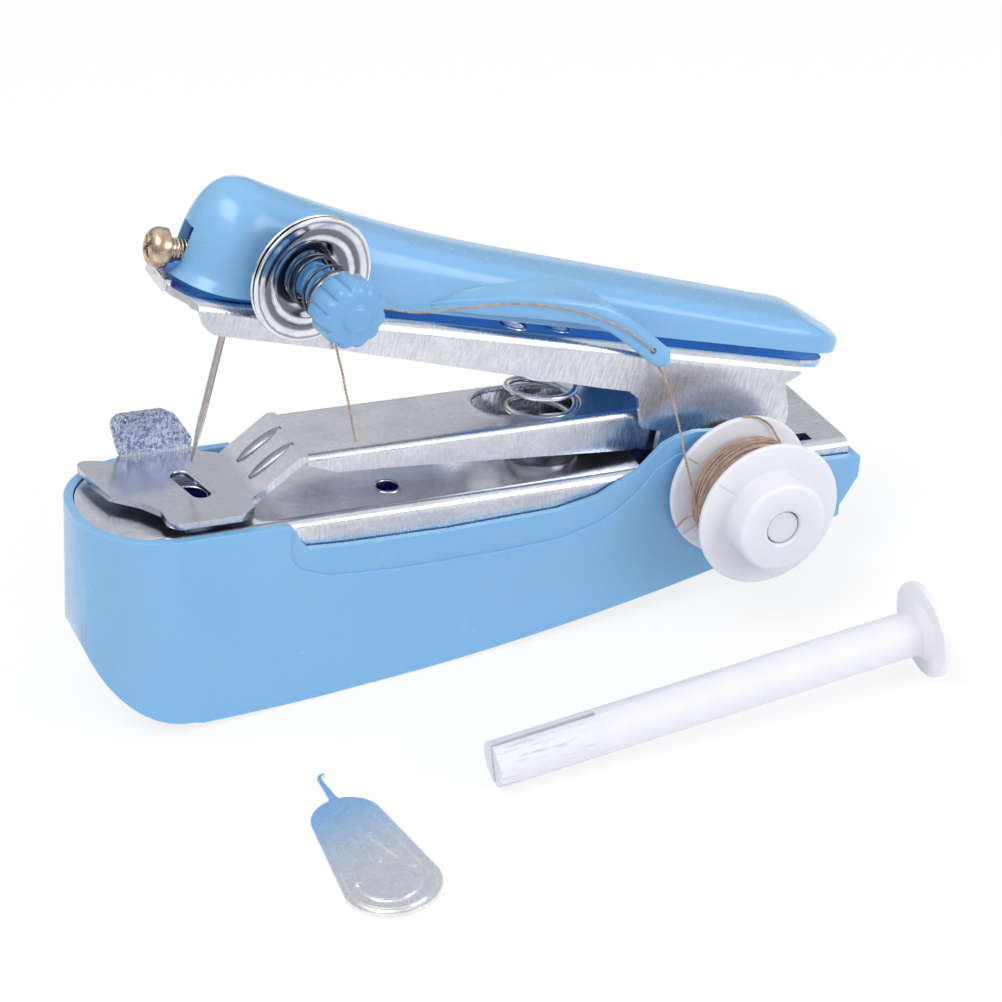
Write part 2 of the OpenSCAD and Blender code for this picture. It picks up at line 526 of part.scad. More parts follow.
// Needle clamp: a block on the arm that the needle and its screw go into
screw_n = 19.4;
module needle_clamp() color([0.55, 0.76, 0.92]) on_arm() difference() {
    union() {
        translate([-needle_u - 3.6, -2.8, plate_n + 0.02]) cube([6.8, 5.6, 9.4]);
        translate([-needle_u, 0, plate_n - arm_t - 1.3]) cylinder(r = 2.05, h = arm_t + 1.4);
    }
    translate([-needle_u, 0, 0]) cylinder(d = shank_d + 0.06, h = plate_n + 9.35);
    translate([0, 0, screw_n]) x_rod(1.38, -needle_u - 8, -needle_u - 0.5);
}
module needle() color([0.72, 0.70, 0.70]) on_arm() translate([-needle_u, 0, plate_n + 9.3 - needle_len])
    difference() {
        union() {
            rotate_extrude() polygon([[0, 0], [0.12, 0.5], [needle_d / 2 - 0.06, 4.5], [needle_d / 2, 6.5],
                [needle_d / 2, needle_len - 13], [shank_d / 2, needle_len - 11.4],
                [shank_d / 2, needle_len - 0.5], [shank_d / 2 - 0.4, needle_len], [0, needle_len]]);
        }
        translate([-shank_d, -2, needle_len - 10.5]) cube([shank_d - 0.65, 4, 12]);
        translate([0, 0, 4.6]) rotate([0, 90, 0]) cylinder(d = 0.34, h = 4, center = true, $fn = 16);
    }
module clamp_screw() color([0.78, 0.62, 0.35]) on_arm() translate([0, 0, screw_n]) difference() {
    union() {
        x_rod(1.35, -82.4, -needle_u - 0.4);
        translate([-82.4, 0, 0]) rotate([0, -90, 0]) rotate_extrude() polygon(concat([[0, 0], [2.55, 0],
            [2.55, 0.9]], arc(1.15, 0.9, 1.4, 0, 80, 5), [[0, 2.35]]));
    }
    for (a = [45, 135]) rotate([a, 0, 0]) translate([-84.6, 0, 0]) cube([1.5, 0.6, 3.0], center = true);
    translate([-needle_u - 0.9, -2, -2]) cube([2, 4, 4]);
}

// Thread tension: post, two discs, spring, keyed washer and knob
module at_post() on_arm() translate([-post_u, 0, post_n]) rotate([0, 0, post_turn]) children();
module tension_post() color([0.35, 0.62, 0.86]) at_post() difference() {
    union() {
        y_rod(post_d / 2, -knob_y + 1.4, -side_y - 0.5);
        y_rod(post_d / 2 - 0.6, -side_y - 0.6, -side_y + cover_wall + 2.2);
        y_rod(post_d / 2 + 0.3, -side_y + cover_wall + 2, -side_y + cover_wall + 2.7);
    }
    // slot along the post for the keyed washer
    translate([-0.6, -knob_y - 1, -5]) cube([1.2, knob_y - disc_y - 1.2, 10]);
}
// one pressed disc: a deep dish, a raised ring, a groove and a rolled rim, from its back outwards
disc_t = 0.4;                       // sheet of the discs
disc_dish = 0.9;                    // depth of the dish
disc_gap = 0.4;                     // gap between the discs at rest
module disc() {
    f = [[post_d / 2 + 0.15, 0], [3.6, 0], [4.5, 0.38], [5.2, 0.80], [5.8, 0.82], [6.4, 0.62], [7.1, 0.80],
        [7.7, 1], [disc_d / 2 - 0.1, 1]];
    rotate([90, 0, 0]) rotate_extrude($fn = 72) polygon(concat([for (p = f) [p[0], p[1] * disc_dish]],
        [[disc_d / 2, disc_dish + disc_t / 2]],
        [for (k = [len(f) - 1 : -1 : 0]) [f[k][0], f[k][1] * disc_dish + disc_t]]));
}
// the two discs lie one in the other, a little askew on their post, with the thread between their rims
disc_in = disc_y + 1.3;             // middle of the pair of rims
module askew() at_post() translate([0, -disc_in, 0]) rotate([0, 0, disc_turn]) children();
module tension_disc_back() color([0.84, 0.85, 0.87]) askew()
    translate([0, disc_gap / 2 + disc_t + disc_dish, 0]) disc();
module tension_disc_front() color([0.84, 0.85, 0.87]) askew()
    translate([0, disc_dish - disc_gap / 2, 0]) disc();
// tension spring, from the front disc's dish to the keyed washer
sp_y0 = disc_in + disc_gap / 2 - disc_dish + disc_t + 3.6 * sin(disc_turn) + 0.03;
sp_y1 = knob_y - knob_len - key_t - 0.1;
module tension_spring() color([0.45, 0.46, 0.5]) at_post() translate([0, -sp_y0, 0]) rotate([90, 0, 0])
    wire(coil(3.3, 4, sp_y1 - sp_y0, 0.44, 20), 0.22);
module tension_key() color([0.84, 0.85, 0.87]) at_post() difference() {
    y_rod(3.6, -sp_y1 - key_t - 0.05, -sp_y1 - 0.05);
    difference() {
        y_rod(post_d / 2 + 0.1, -knob_y, 0);
        translate([-0.5, -knob_y - 1, -4]) cube([1.0, knob_y + 2, 8]);
    }
}
// the knob's outline, ribbed all round
knob_pts = knob_ribs * 10;
module knob2d() polygon([for (i = [0 : knob_pts - 1]) let (a = 360 * i / knob_pts,
    r = knob_d / 2 - 0.42 * pow(sin(a * knob_ribs / 2), 2)) [r * cos(a), r * sin(a)]]);
module tension_knob() color([0.47, 0.71, 0.89]) at_post() difference() {
    union() {
        translate([0, -knob_y + knob_len, 0]) rotate([90, 0, 0]) linear_extrude(knob_len - 0.6) knob2d();
        y_rod(knob_d / 2 - 0.8, -knob_y, -knob_y + 0.7);
        y_rod(1.7, -knob_y - 0.5, -knob_y + 0.1);
    }
    y_rod(post_d / 2 + 0.06, -knob_y + 1.2, -knob_y + knob_len + 1);
}

// Looper under the bed: a hook on a pivot, its spring, and the link from the arm's stud
piv_x = -44.6;
piv_y = 4.2;
loop_z = -7.9;                      // level of the hook
link_z = -6.4;                      // level of the link
lever = 3.2;                        // radius of the looper's own pin
link_y = piv_y - lever;             // middle of the link
link_hw = 1.5;                      // half-width of the link
slide_play = 0.06;                  // clearance of the link on its pins and guides
link_travel = stud_r * 2 * sin(arm_open / 2);
loop_turn = 2 * asin(link_travel / (2 * lever));
// the hook passes just outside the needle
hook_r = norm([hinge_x - needle_u - piv_x, -piv_y]) + needle_d / 2 + 1.15;
module looper() color([0.80, 0.81, 0.84]) on_bed() translate([piv_x, piv_y, 0]) difference() {
    union() {
        translate([0, 0, loop_z]) cylinder(r = 2.4, h = 0.8);
        // hook, turned back from the needle
        translate([0, 0, loop_z]) rotate([0, 0, -loop_turn]) linear_extrude(0.8) {
            polygon(concat([[0, -1.2]], arc(0, 0, hook_r - 0.45, 196, 226, 10),
                arc(0, 0, hook_r + 0.45, 220, 186, 10), [[-1, 2.2]]));
        }
        rotate([0, 0, -loop_turn / 2]) {
            translate([0, -lever, loop_z + 0.1]) cylinder(r = 0.6, h = link_z - loop_z + 1.1);
            translate([-1, -lever - 1, loop_z]) cube([2, lever, 0.8]);
        }
    }
    translate([0, 0, -20]) cylinder(r = 1.05, h = 30);
}
module looper_pivot() color([0.75, 0.76, 0.79]) on_bed() translate([piv_x, piv_y, 0]) {
    translate([0, 0, loop_z - 0.6]) cylinder(r = 1.0, h = -loop_z + 0.6);
    translate([0, 0, loop_z - 1.0]) cylinder(r = 1.9, h = 0.9);
    translate([0, 0, loop_z + 0.88]) cylinder(r = 1.35, h = -loop_z - bed_t - 0.93);
}
module looper_spring() color([0.6, 0.61, 0.65]) on_bed() translate([piv_x, piv_y, link_z + 1.35])
    wire(concat([[3.2, 1.95, 0.2]], [for (p = coil(1.95, 4, 3.0, 0.5, 16)) [-p[1], p[0], p[2]]],
        [[-5, 1.95, 2.8]]), 0.25, 6);
module looper_link() color([0.80, 0.81, 0.84]) on_bed() difference() {
    union() {
        translate([piv_x - 1.9, link_y - link_hw, link_z]) cube([hinge_x - piv_x - 2.1, 2 * link_hw, 0.8]);
        // fork on edge under the hinge, beside the stud
        side_slab(link_y + link_hw - 0.9, link_y + link_hw) polygon([[13, link_z + 0.8],
            [hinge_x - 4, link_z + 0.8], [hinge_x - 3.4, -6.9], [hinge_x + 3.2, -6.9], [hinge_x + 3.2, -11.6],
            [hinge_x - 4.4, -11.6], [13, -8.6]]);
    }
    // slot across for the looper's pin, and the fork's open slot
    translate([piv_x - lever * sin(loop_turn / 2) - 0.6 - slide_play, link_y - 0.75, -20])
        cube([1.2 + 2 * slide_play, 1.5, 30]);
    translate([hinge_x - link_travel / 2 - 1.1 - slide_play, 0, -12]) cube([2.2 + 2 * slide_play, 4, 3.7]);
}
guide_x = [-34, -12];
guide_off = link_hw + slide_play + 0.6;
// Guides that carry the link under the bed
module link_guides() color([0.75, 0.76, 0.79]) on_bed() for (x = guide_x) translate([x, link_y, 0]) {
    for (s = [-1, 1]) translate([0, s * guide_off, link_z - 0.7]) cylinder(r = 0.6, h = -link_z + 0.18);
    translate([-1, -guide_off - 0.8, link_z - 0.7 - slide_play]) cube([2, 2 * guide_off + 1.6, 0.7]);
}

// Bobbin on its pin, beside the hinge
module bobbin_pin() color([0.95, 0.95, 0.96]) on_hinge() difference() {
    union() {
        y_rod(pin_d / 2, -bob_y - bobbin_w - 1.2, hw + 1.6);
        y_rod(2.2, -bob_y - bobbin_w - hub_len + 0.4, -bob_y - bobbin_w);
        y_rod(5.2, hw + 0.72, hw + 2.0);
    }
    translate([-0.5, -bob_y - bobbin_w + 0.6, -5]) cube([1.0, bobbin_w - 2.6, 10]);
}
module bobbin() color([0.95, 0.95, 0.96]) on_hinge() rotate([90, 0, 0]) rotate_extrude($fn = 72) polygon([
    [pin_d / 2 + 0.07, bob_y], [bobbin_d / 2 - 0.3, bob_y], [bobbin_d / 2, bob_y + 0.35],
    [bobbin_d / 2 - 0.2, bob_y + 0.9], [core_r + 0.4, bob_y + 1.3], [core_r, bob_y + 1.7],
    [core_r, bob_y + bobbin_w - 1.7], [core_r + 0.4, bob_y + bobbin_w - 1.3],
    [bobbin_d / 2 - 0.2, bob_y + bobbin_w - 0.9], [bobbin_d / 2, bob_y + bobbin_w - 0.35],
    [bobbin_d / 2 - 0.3, bob_y + bobbin_w], [hub_d / 2 + 0.3, bob_y + bobbin_w],
    [hub_d / 2, bob_y + bobbin_w + 0.3], [hub_d / 2, bob_y + bobbin_w + hub_len - 0.4],
    [hub_d / 2 - 0.4, bob_y + bobbin_w + hub_len], [2.4, bob_y + bobbin_w + hub_len],
    [2.4, bob_y + bobbin_w + 1.3], [pin_d / 2 + 0.07, bob_y + bobbin_w + 1.3]]);
// Thread wound on the bobbin
module bobbin_thread() color([0.72, 0.60, 0.52]) on_hinge() rotate([90, 0, 0]) rotate_extrude($fn = 60) polygon([
    [core_r + 0.3, bob_y + 1.9], [core_r + 0.3, bob_y + bobbin_w - 1.9],
    [wound_d / 2 - 0.3, bob_y + bobbin_w - 1.75],
    [wound_d / 2, bob_y + bobbin_w / 2 + 0.6], [wound_d / 2 - 0.3, bob_y + 1.75]]);

// Thread: along the cover to the guide, down to the bobbin, and a free end at the discs
thread_r = 0.16;
// points in the needle arm's frame
run_pts = [[-60.86, -9.05, 16.5], [-59.97, -8.88, 16.9], [-58.1, -8.7, 17.4], [-55.4, -8.3, 17.7],
    [-52.5, -7.5, 17.3],
    [-50, -7.45, 17.3], [-47.4, -7.7, 18.0], [-44, -8.5, 19.1], [-40.4, -9.2, 20.2], [-36.5, -9.75, 20.9],
    [-32.5, -10.45, 21.1], [-28.2, -11.15, 20.8], [-23.4, -11.6, 19.7], [-19.9, -11.6, 18.2],
    [-18.1, -11.58, 17.2], [-17.6, -11.45, 16.9], [-17.5, -11.1, 16.8], [-17.5, -10.15, 16.75]];
tail_pts = [[-62.43, -9.36, 14.9], [-61.94, -9.26, 14.15], [-61.4, -9.3, 13.2], [-60.55, -9.6, 11.2],
    [-59.6, -10.0, 9.2], [-58.8, -10.05, 7.4], [-58.0, -10.0, 5.8], [-57.2, -9.9, 4.2], [-56.5, -9.8, 2.7],
    [-55.8, -9.7, 1.2], [-55.2, -9.6, 0.0]];
module thread_run() color([0.80, 0.62, 0.50]) on_arm() wire(run_pts, thread_r, 6);
module thread_tail() color([0.80, 0.62, 0.50]) on_arm() wire(tail_pts, thread_r, 6);
// points in the bed's frame, from the guide to the winding
drop_pts = concat([[6.75, -9.8, 17.45], [7.3, -9.78, 16.7], [8.1, -9.8, 15.4], [8.45, -10.15, 14.5],
    [8.95, -11.1, 13.2],
    [9.6, -12.4, 10.8], [10.0, -13.5, 8.4], [10.35, -14.6, 5.8], [10.7, -15.6, 3.2], [11.3, -16.4, 0.4]],
    [for (a = [184 : 10 : 254]) let (r = wound_d / 2 + thread_r + 0.05)
        [hinge_x + r * cos(a), -17.1 - (a - 184) * 0.004, hinge_z + r * sin(a)]]);
module thread_drop() color([0.80, 0.62, 0.50]) on_bed() wire(drop_pts, thread_r, 6);

// Extension spindle, lying on the table
rod_r = 3.0;
module extension_spindle() color([0.95, 0.95, 0.97]) translate([1.9, -40.3, 0])
    rotate([0, 0, -1.5]) translate([0, 0, rod_r * cos(lie) ]) rotate([0, 90 - lie, 0]) difference() {
        union() {
            cylinder(r = rod_r, h = rod_len);
            translate([0, 0, rod_len - 0.02]) cylinder(r = flange_d / 2, h = 0.8);
            translate([0, 0, rod_len - 1.2]) cylinder(r1 = rod_r, r2 = rod_r + 1.2, h = 1.2);
        }
        translate([-5, -0.35, -1]) cube([10, 0.7, 15]);
    }
lie = asin((flange_d / 2 - rod_r) / rod_len);
// Needle threader, a small stamping lying on the table
thr_y = -36.2;                      // its narrow end
boss_y = -threader_len + threader_w / 2 + 0.4;
module threader2d(d) {
    r0 = threader_w * 0.37;
    r1 = threader_w / 2;
    y1 = -threader_len + r0 + r1 * 0.62;
    polygon(concat(arc(0, -r0, r0 - d, 12, 168, 10), arc(0, -threader_len + r1, r1 - d, 184, 356, 14)));
}
module needle_threader() color([0.72, 0.78, 0.85]) translate([-17.4, thr_y + 1.2, 0]) rotate([0, 0, 1.5]) {
    difference() {
        union() {
            linear_extrude(threader_t) threader2d(0);
            // ridge along both sides and round the wide end
            linear_extrude(threader_t + 0.35) difference() {
                threader2d(0.7);
                threader2d(1.4);
                translate([-10, -5]) square([20, 10]);
            }
            translate([0, boss_y, 0]) cylinder(r = 3.9, h = threader_t + 0.25);
            // three ribs that spread towards the boss
            for (s = [-1, 0, 1]) translate([s * 1.1, -8.4, 0]) rotate([0, 0, s * 16])
                translate([-0.4, s == 0 ? -6.2 : -9.2, 0]) cube([0.8, s == 0 ? 6.2 : 9.2, threader_t + 0.3]);
        }
    }
    // hook on a thin neck
    linear_extrude(threader_t) polygon([[-0.75, -0.3], [-0.5, 0.5], [-0.28, 4.9], [0.15, 5.6], [0.95, 5.7],
        [1.0, 5.45], [0.4, 5.2], [0.2, 4.8], [0.5, 0.5], [0.75, -0.3]]);
}

base_shell();
bed_plate();
bed_screws();
hinge_rivet();
presser_arm();
main_spring();
spring_stud();
spring_cap();
needle_arm();
link_stud();
top_cover();
cover_rivets();
needle_clamp();
needle();
clamp_screw();
tension_post();
tension_disc_back();
tension_disc_front();
tension_spring();
tension_key();
tension_knob();
looper();
looper_pivot();
looper_spring();
looper_link();
link_guides();
bobbin_pin();
bobbin();
bobbin_thread();
thread_run();
thread_drop();
thread_tail();
extension_spindle();
needle_threader();
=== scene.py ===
import math

import bmesh
import bpy
import numpy as np
from mathutils import Matrix, Vector


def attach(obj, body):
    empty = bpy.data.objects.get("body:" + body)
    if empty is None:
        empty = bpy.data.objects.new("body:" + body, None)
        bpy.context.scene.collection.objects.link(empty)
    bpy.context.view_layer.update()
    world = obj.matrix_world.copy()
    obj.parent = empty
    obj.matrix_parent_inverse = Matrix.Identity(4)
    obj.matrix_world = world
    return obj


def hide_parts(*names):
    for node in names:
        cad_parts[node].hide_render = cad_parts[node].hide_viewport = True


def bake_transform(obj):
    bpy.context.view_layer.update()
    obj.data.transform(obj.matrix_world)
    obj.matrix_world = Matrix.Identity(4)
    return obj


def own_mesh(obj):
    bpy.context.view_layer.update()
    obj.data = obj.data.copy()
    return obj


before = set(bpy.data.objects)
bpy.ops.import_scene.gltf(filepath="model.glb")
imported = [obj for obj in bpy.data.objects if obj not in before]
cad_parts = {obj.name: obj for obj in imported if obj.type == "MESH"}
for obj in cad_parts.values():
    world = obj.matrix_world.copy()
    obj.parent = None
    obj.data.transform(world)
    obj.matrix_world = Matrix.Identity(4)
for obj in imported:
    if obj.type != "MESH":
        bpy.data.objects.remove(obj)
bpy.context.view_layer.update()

# ---- Camera ----
# A long lens, high on the bobbin's side and rolled a little. Its place was worked
# out in the bed's frame, so it is turned with the bed.
SCENE = bpy.context.scene
BED_PITCH = 6


def turn(degrees, axis):
    return Matrix.Rotation(math.radians(degrees), 4, axis)


def shift(*place):
    return Matrix.Translation(place)


def add_object(name, data):
    made = bpy.data.objects.new(name, data)
    SCENE.collection.objects.link(made)
    return made


def add_camera(place, azimuth, elevation, roll, lens):
    data = bpy.data.cameras.new("camera")
    data.lens, data.sensor_width, data.clip_start = lens, 36, 0.01
    SCENE.camera = add_object("camera", data)
    aim = turn(azimuth, "Z") @ turn(90 - elevation, "X") @ turn(roll, "Z")
    SCENE.camera.matrix_world = shift(*place) @ turn(BED_PITCH, "Y") @ aim


add_camera(place=(-0.10301, -0.30544, 0.20766), azimuth=-25.13, elevation=27.93, roll=3.87, lens=101.28)

# ---- Light, table and surroundings ----
# A white table in a white room, with a big soft lamp at the upper left and a weak
# one on the right.
SCENE.view_settings.view_transform = "Standard"


class Field:
    """A value that varies over a surface or a set of points: one output of a node."""

    def __init__(self, tree, out=None):
        self.tree, self.out = tree, out

    def node(self, kind, sockets=None, give=0, **settings):
        """A new node's output: give is its number or name, settings are the node's own properties."""
        shared = hasattr(bpy.types, "ShaderNode" + kind)
        made = self.tree.nodes.new(("ShaderNode" if shared else "GeometryNode") + kind)
        for key, value in settings.items():
            if key != "stops":
                setattr(made, key, value)
                continue
            row = made.color_ramp.elements
            while len(row) < len(value):
                row.new(0.5)
            for stop, (at, colour) in zip(row, value):
                stop.position, stop.color = at, (*colour, 1)
        for key, value in (sockets or {}).items():
            if isinstance(value, Field):
                self.tree.links.new(value.out, made.inputs[key])
            else:
                made.inputs[key].default_value = value
        return Field(self.tree, made.outputs[give] if len(made.outputs) else None)

    def math(self, operation, *others):
        return self.node("Math", dict(enumerate((self, *others))), operation=operation)

    def __add__(self, other):
        return self.math("ADD", other)

    def __sub__(self, other):
        return self.math("SUBTRACT", other)

    def __rsub__(self, other):
        return self.node("Math", {0: other, 1: self}, operation="SUBTRACT")

    def __mul__(self, other):
        return self.math("MULTIPLY", other)

    def __truediv__(self, other):
        return self.math("DIVIDE", other)

    __radd__, __rmul__ = __add__, __mul__


def levels(*values):
    """A colour given by its 0 to 255 levels, as the linear numbers that sockets take."""
    return tuple(((v / 255 + 0.055) / 1.055) ** 2.4 for v in values)


def ramp(at, *stops):
    """Greys or colours spread along a field; each stop is a place and a level or a colour."""
    full = [(p, c if isinstance(c, tuple) else (c,) * 3) for p, c in stops]
    return at.node("ValToRGB", {0: at}, stops=full)


def above(at, low, high, top=1.0):
    """Nothing up to low, rising to top at high."""
    return ramp(at, (low, 0.0), (high, top))


def spread(at, low, high, *stops):
    """A ramp over a length from low to high, with its stops given as places on that length."""
    return ramp((at - low) / (high - low), *[((p - low) / (high - low), c) for p, c in stops])


def axis_of(at, axis):
    """A place's distance along X, Y or Z, for axis 0, 1 or 2."""
    return at.node("SeparateXYZ", {0: at}, axis)


def any_of(path, *names):
    """1 where the ray is of one of these kinds."""
    kinds = [Field(path.tree, path.out.node.outputs[name]) for name in names]
    found = kinds[0]
    for kind in kinds[1:]:
        found = found.math("MAXIMUM", kind)
    return found


def light_room(plain):
    world = bpy.data.worlds.new("room")
    SCENE.world = world
    world.use_nodes = True
    world.node_tree.nodes.clear()
    start = Field(world.node_tree)
    path = start.node("LightPath")
    seen = any_of(path, "Is Camera Ray", "Is Transmission Ray")
    glossy = any_of(path, "Is Glossy Ray")
    way = start.node("TexCoord", give="Generated")
    # what gloss shows: a bright ceiling over darker walls
    walls = ramp(axis_of(way, 2), (0.0, 0.45), (0.10, 0.30), (0.28, 0.38), (0.42, 0.76), (0.62, 0.86),
                 (0.80, 0.95), (1.0, 1.0))
    unseen = glossy * walls + (1 - glossy) * plain
    strength = seen + (1 - seen) * unseen
    shine = start.node("Background", {"Color": (0.98, 0.99, 1, 1), "Strength": strength})
    start.node("OutputWorld", {0: shine})


def add_lamp(name, place, target, width, height, watts, tint):
    data = bpy.data.lights.new(name, "AREA")
    data.shape, data.size, data.size_y = "RECTANGLE", width, height
    data.energy, data.color = watts, tint
    lamp = add_object(name, data)
    lamp.location = place
    lamp.rotation_euler = (Vector(target) - Vector(place)).to_track_quat("-Z", "Y").to_euler()


def add_table(half, low):
    mesh = bpy.data.meshes.new("table")
    corners = [(-half, -half, low), (half, -half, low), (half, half, low), (-half, half, low)]
    mesh.from_pydata(corners, [], [(0, 1, 2, 3)])
    paint = bpy.data.materials.new("white_table")
    paint.use_nodes = True
    paint.node_tree.nodes.clear()
    start = Field(paint.node_tree)
    path = start.node("LightPath")
    seen = any_of(path, "Is Camera Ray", "Is Glossy Ray", "Is Transmission Ray")
    matt = start.node("BsdfDiffuse", {"Color": (0.9, 0.9, 0.905, 1)})
    glow = start.node("Emission", {"Color": (1, 1, 1, 1), "Strength": 1.03})
    both = start.node("MixShader", {0: seen * 0.78, 1: matt, 2: glow})
    start.node("OutputMaterial", {0: both})
    mesh.materials.append(paint)
    add_object("table", mesh)


light_room(plain=0.66)
add_lamp("key", place=(-0.30, -0.16, 0.60), target=(0.01, 0, 0.02), width=0.42, height=0.30, watts=1.9,
         tint=(1, 0.99, 0.97))
add_lamp("fill", place=(0.42, -0.50, 0.30), target=(0.02, 0, 0.03), width=0.36, height=0.36, watts=1.6,
         tint=(0.94, 0.97, 1))
add_table(half=6.0, low=-0.0003)

# ---- Sewing thread ----
# Two-ply beige thread, 0.3 mm thick: from the tension discs along the cover to its
# guide, from the guide down to the bobbin, and a short free end below the discs.
BED = shift(0.03, 0, 0.021602) @ turn(BED_PITCH, "Y")
HINGE = BED @ shift(0.02, 0, -0.0025)
ARM_OPEN = 12.84
ARM = HINGE @ turn(ARM_OPEN, "Y")


def placed(matrix, points):
    """Points in millimetres in a part's own frame, as metres in the model's frame."""
    return np.array([matrix @ (Vector(p) / 1000) for p in points])


def length_along(path):
    """Each point's distance from the first one, along the path."""
    return np.concatenate([[0], np.cumsum(np.linalg.norm(np.diff(path, axis=0), axis=1))])


def smooth_path(points, step):
    """Evenly spaced points of a smooth curve through the given ones."""
    p = np.array(points, float)
    ends = np.vstack([2 * p[0] - p[1], p, 2 * p[-1] - p[-2]])
    run = []
    for a, b, c, d in zip(ends, ends[1:], ends[2:], ends[3:]):
        for t in np.linspace(0, 1, 12, endpoint=False):
            run.append((2 * b + (c - a) * t + (2 * a - 5 * b + 4 * c - d) * t ** 2
                        + (3 * b - a - 3 * c + d) * t ** 3) / 2)
    run = np.array(run + [p[-1]])
    far = length_along(run)
    even = np.linspace(0, far[-1], max(3, round(far[-1] / step)))
    return np.stack([np.interp(even, far, run[:, k]) for k in range(3)], 1)


def sides_of(path):
    """Two directions square to a path, carried along it without twist."""
    along = np.gradient(path, axis=0)
    along /= np.linalg.norm(along, axis=1)[:, None]
    side = np.cross(along[0], (0.31, 0.92, 0.24))
    first, second = [], []
    for way in along:
        side = side - way * (side @ way)
        side /= np.linalg.norm(side)
        first.append(side)
        second.append(np.cross(way, side))
    return np.array(first), np.array(second)


def between(rows, ring, closed=False):
    """Faces between neighbouring rings of points, and back to the first row if closed."""
    return [(i * ring + k, i * ring + (k + 1) % ring,
             (i + 1) % rows * ring + (k + 1) % ring, (i + 1) % rows * ring + k)
            for i in range(rows if closed else rows - 1) for k in range(ring)]


def capped(rows, ring):
    """Faces between the rings, with one more over each end."""
    return between(rows, ring) + [tuple(range(ring)), tuple((rows - 1) * ring + k for k in range(ring))]


def tube(path, radius, sides):
    """Points and faces of a round tube along a path."""
    first, second = sides_of(path)
    round_it = np.linspace(0, 2 * math.pi, sides, endpoint=False)[:, None]
    rings = path[:, None] + radius * (np.cos(round_it) * first[:, None] + np.sin(round_it) * second[:, None])
    return rings.reshape(-1, 3), capped(len(path), sides)


def joined(*parts):
    """Several sets of points and faces as one."""
    points, faces, start = [], [], 0
    for some, more in parts:
        points += [tuple(p) for p in some]
        faces += [tuple(start + k for k in face) for face in more]
        start = len(points)
    return points, faces


def face_outwards(mesh, weld=False):
    """Turns a mesh's faces outwards; weld first joins the points that lie in one place."""
    form = bmesh.new()
    form.from_mesh(mesh)
    if weld:
        bmesh.ops.remove_doubles(form, verts=form.verts, dist=1e-7)
    bmesh.ops.recalc_face_normals(form, faces=form.faces)
    form.to_mesh(mesh)
    form.free()


def make_piece(name, points, faces):
    """A new object with its place in its mesh, and all its faces turned outwards and smooth."""
    mesh = bpy.data.meshes.new(name)
    mesh.from_pydata([tuple(p) for p in points], [], faces)
    face_outwards(mesh)
    mesh.shade_smooth()
    return add_object(name, mesh)


def sharpen(piece, angle):
    """Shades the edges that turn by more than this many degrees as sharp ones."""
    piece.data.set_sharp_from_angle(angle=math.radians(angle))


def fit(piece, finish, body, stands_for=()):
    """Gives a piece its material and its body, and hides the CAD nodes that it stands for."""
    piece.data.materials.clear()
    piece.data.materials.append(finish)
    if body:
        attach(piece, body)
    if stands_for:
        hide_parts(*stands_for)
    return piece


def finish_with(name, **fixed):
    """A new material with these constant sockets, and the place on the piece in millimetres."""
    made = bpy.data.materials.new(name)
    made.use_nodes = True
    surface = made.node_tree.nodes["Principled BSDF"].inputs
    for socket, value in fixed.items():
        surface[socket.replace("_", " ")].default_value = value
    place = Field(made.node_tree).node("TexCoord", give="Object")
    return made, place.node("VectorMath", {0: place, "Scale": 1000}, operation="SCALE")


def feed(made, **fields):
    """Lets fields set sockets of the material's surface."""
    surface = made.node_tree.nodes["Principled BSDF"].inputs
    for socket, field in fields.items():
        made.node_tree.links.new(field.out, surface[socket.replace("_", " ")])


def stretched(at, *by):
    return at.node("VectorMath", {0: at, 1: by}, operation="MULTIPLY")


def noise(at, scale, detail=3.0, rough=0.5):
    return at.node("TexNoise", {"Vector": at, "Scale": scale, "Detail": detail, "Roughness": rough})


def mixed(share, low, high):
    """Colour low where the share is 0 and colour high where it is 1."""
    pair = [c if isinstance(c, Field) else (*c, 1) for c in (low, high)]
    return share.node("Mix", {0: share, 6: pair[0], 7: pair[1]}, 2, data_type="RGBA")


def relief(height, depth_mm, strength=1.0):
    """A height field from 0 to 1 as a bump of that depth."""
    return height.node("Bump", {"Strength": strength, "Distance": depth_mm / 1000, "Height": height})


def spun_thread():
    made, at = finish_with("spun_thread", Roughness=0.85, Sheen_Weight=0.35, Sheen_Roughness=0.4)
    fibre = noise(at, 9.0, 4.0, 0.7)
    patch = noise(at, 0.9, 2.0)
    tone = mixed(above(fibre, 0.3, 0.7), levels(132, 102, 88), levels(192, 168, 152))
    feed(made, Base_Color=mixed(above(patch, 0.35, 0.65, 0.45), tone, levels(210, 192, 178)),
         Normal=relief(fibre, 0.03, 0.6))
    return made


THREAD = spun_thread()
THREAD_R, THREAD_LAY, THREAD_STEP = 0.00016, 0.0011, 0.0001


def thread(name, matrix, points):
    """Two strands laid round each other, through points in millimetres in a part's own frame."""
    path = smooth_path(placed(matrix, points), THREAD_STEP)
    first, second = sides_of(path)
    strands = []
    for start in (0, math.pi):
        twist = (length_along(path) / THREAD_LAY * 2 * math.pi + start)[:, None]
        middle = path + 0.46 * THREAD_R * (np.cos(twist) * first + np.sin(twist) * second)
        strands.append(tube(middle, 0.6 * THREAD_R, 6))
    return make_piece(name, *joined(*strands))


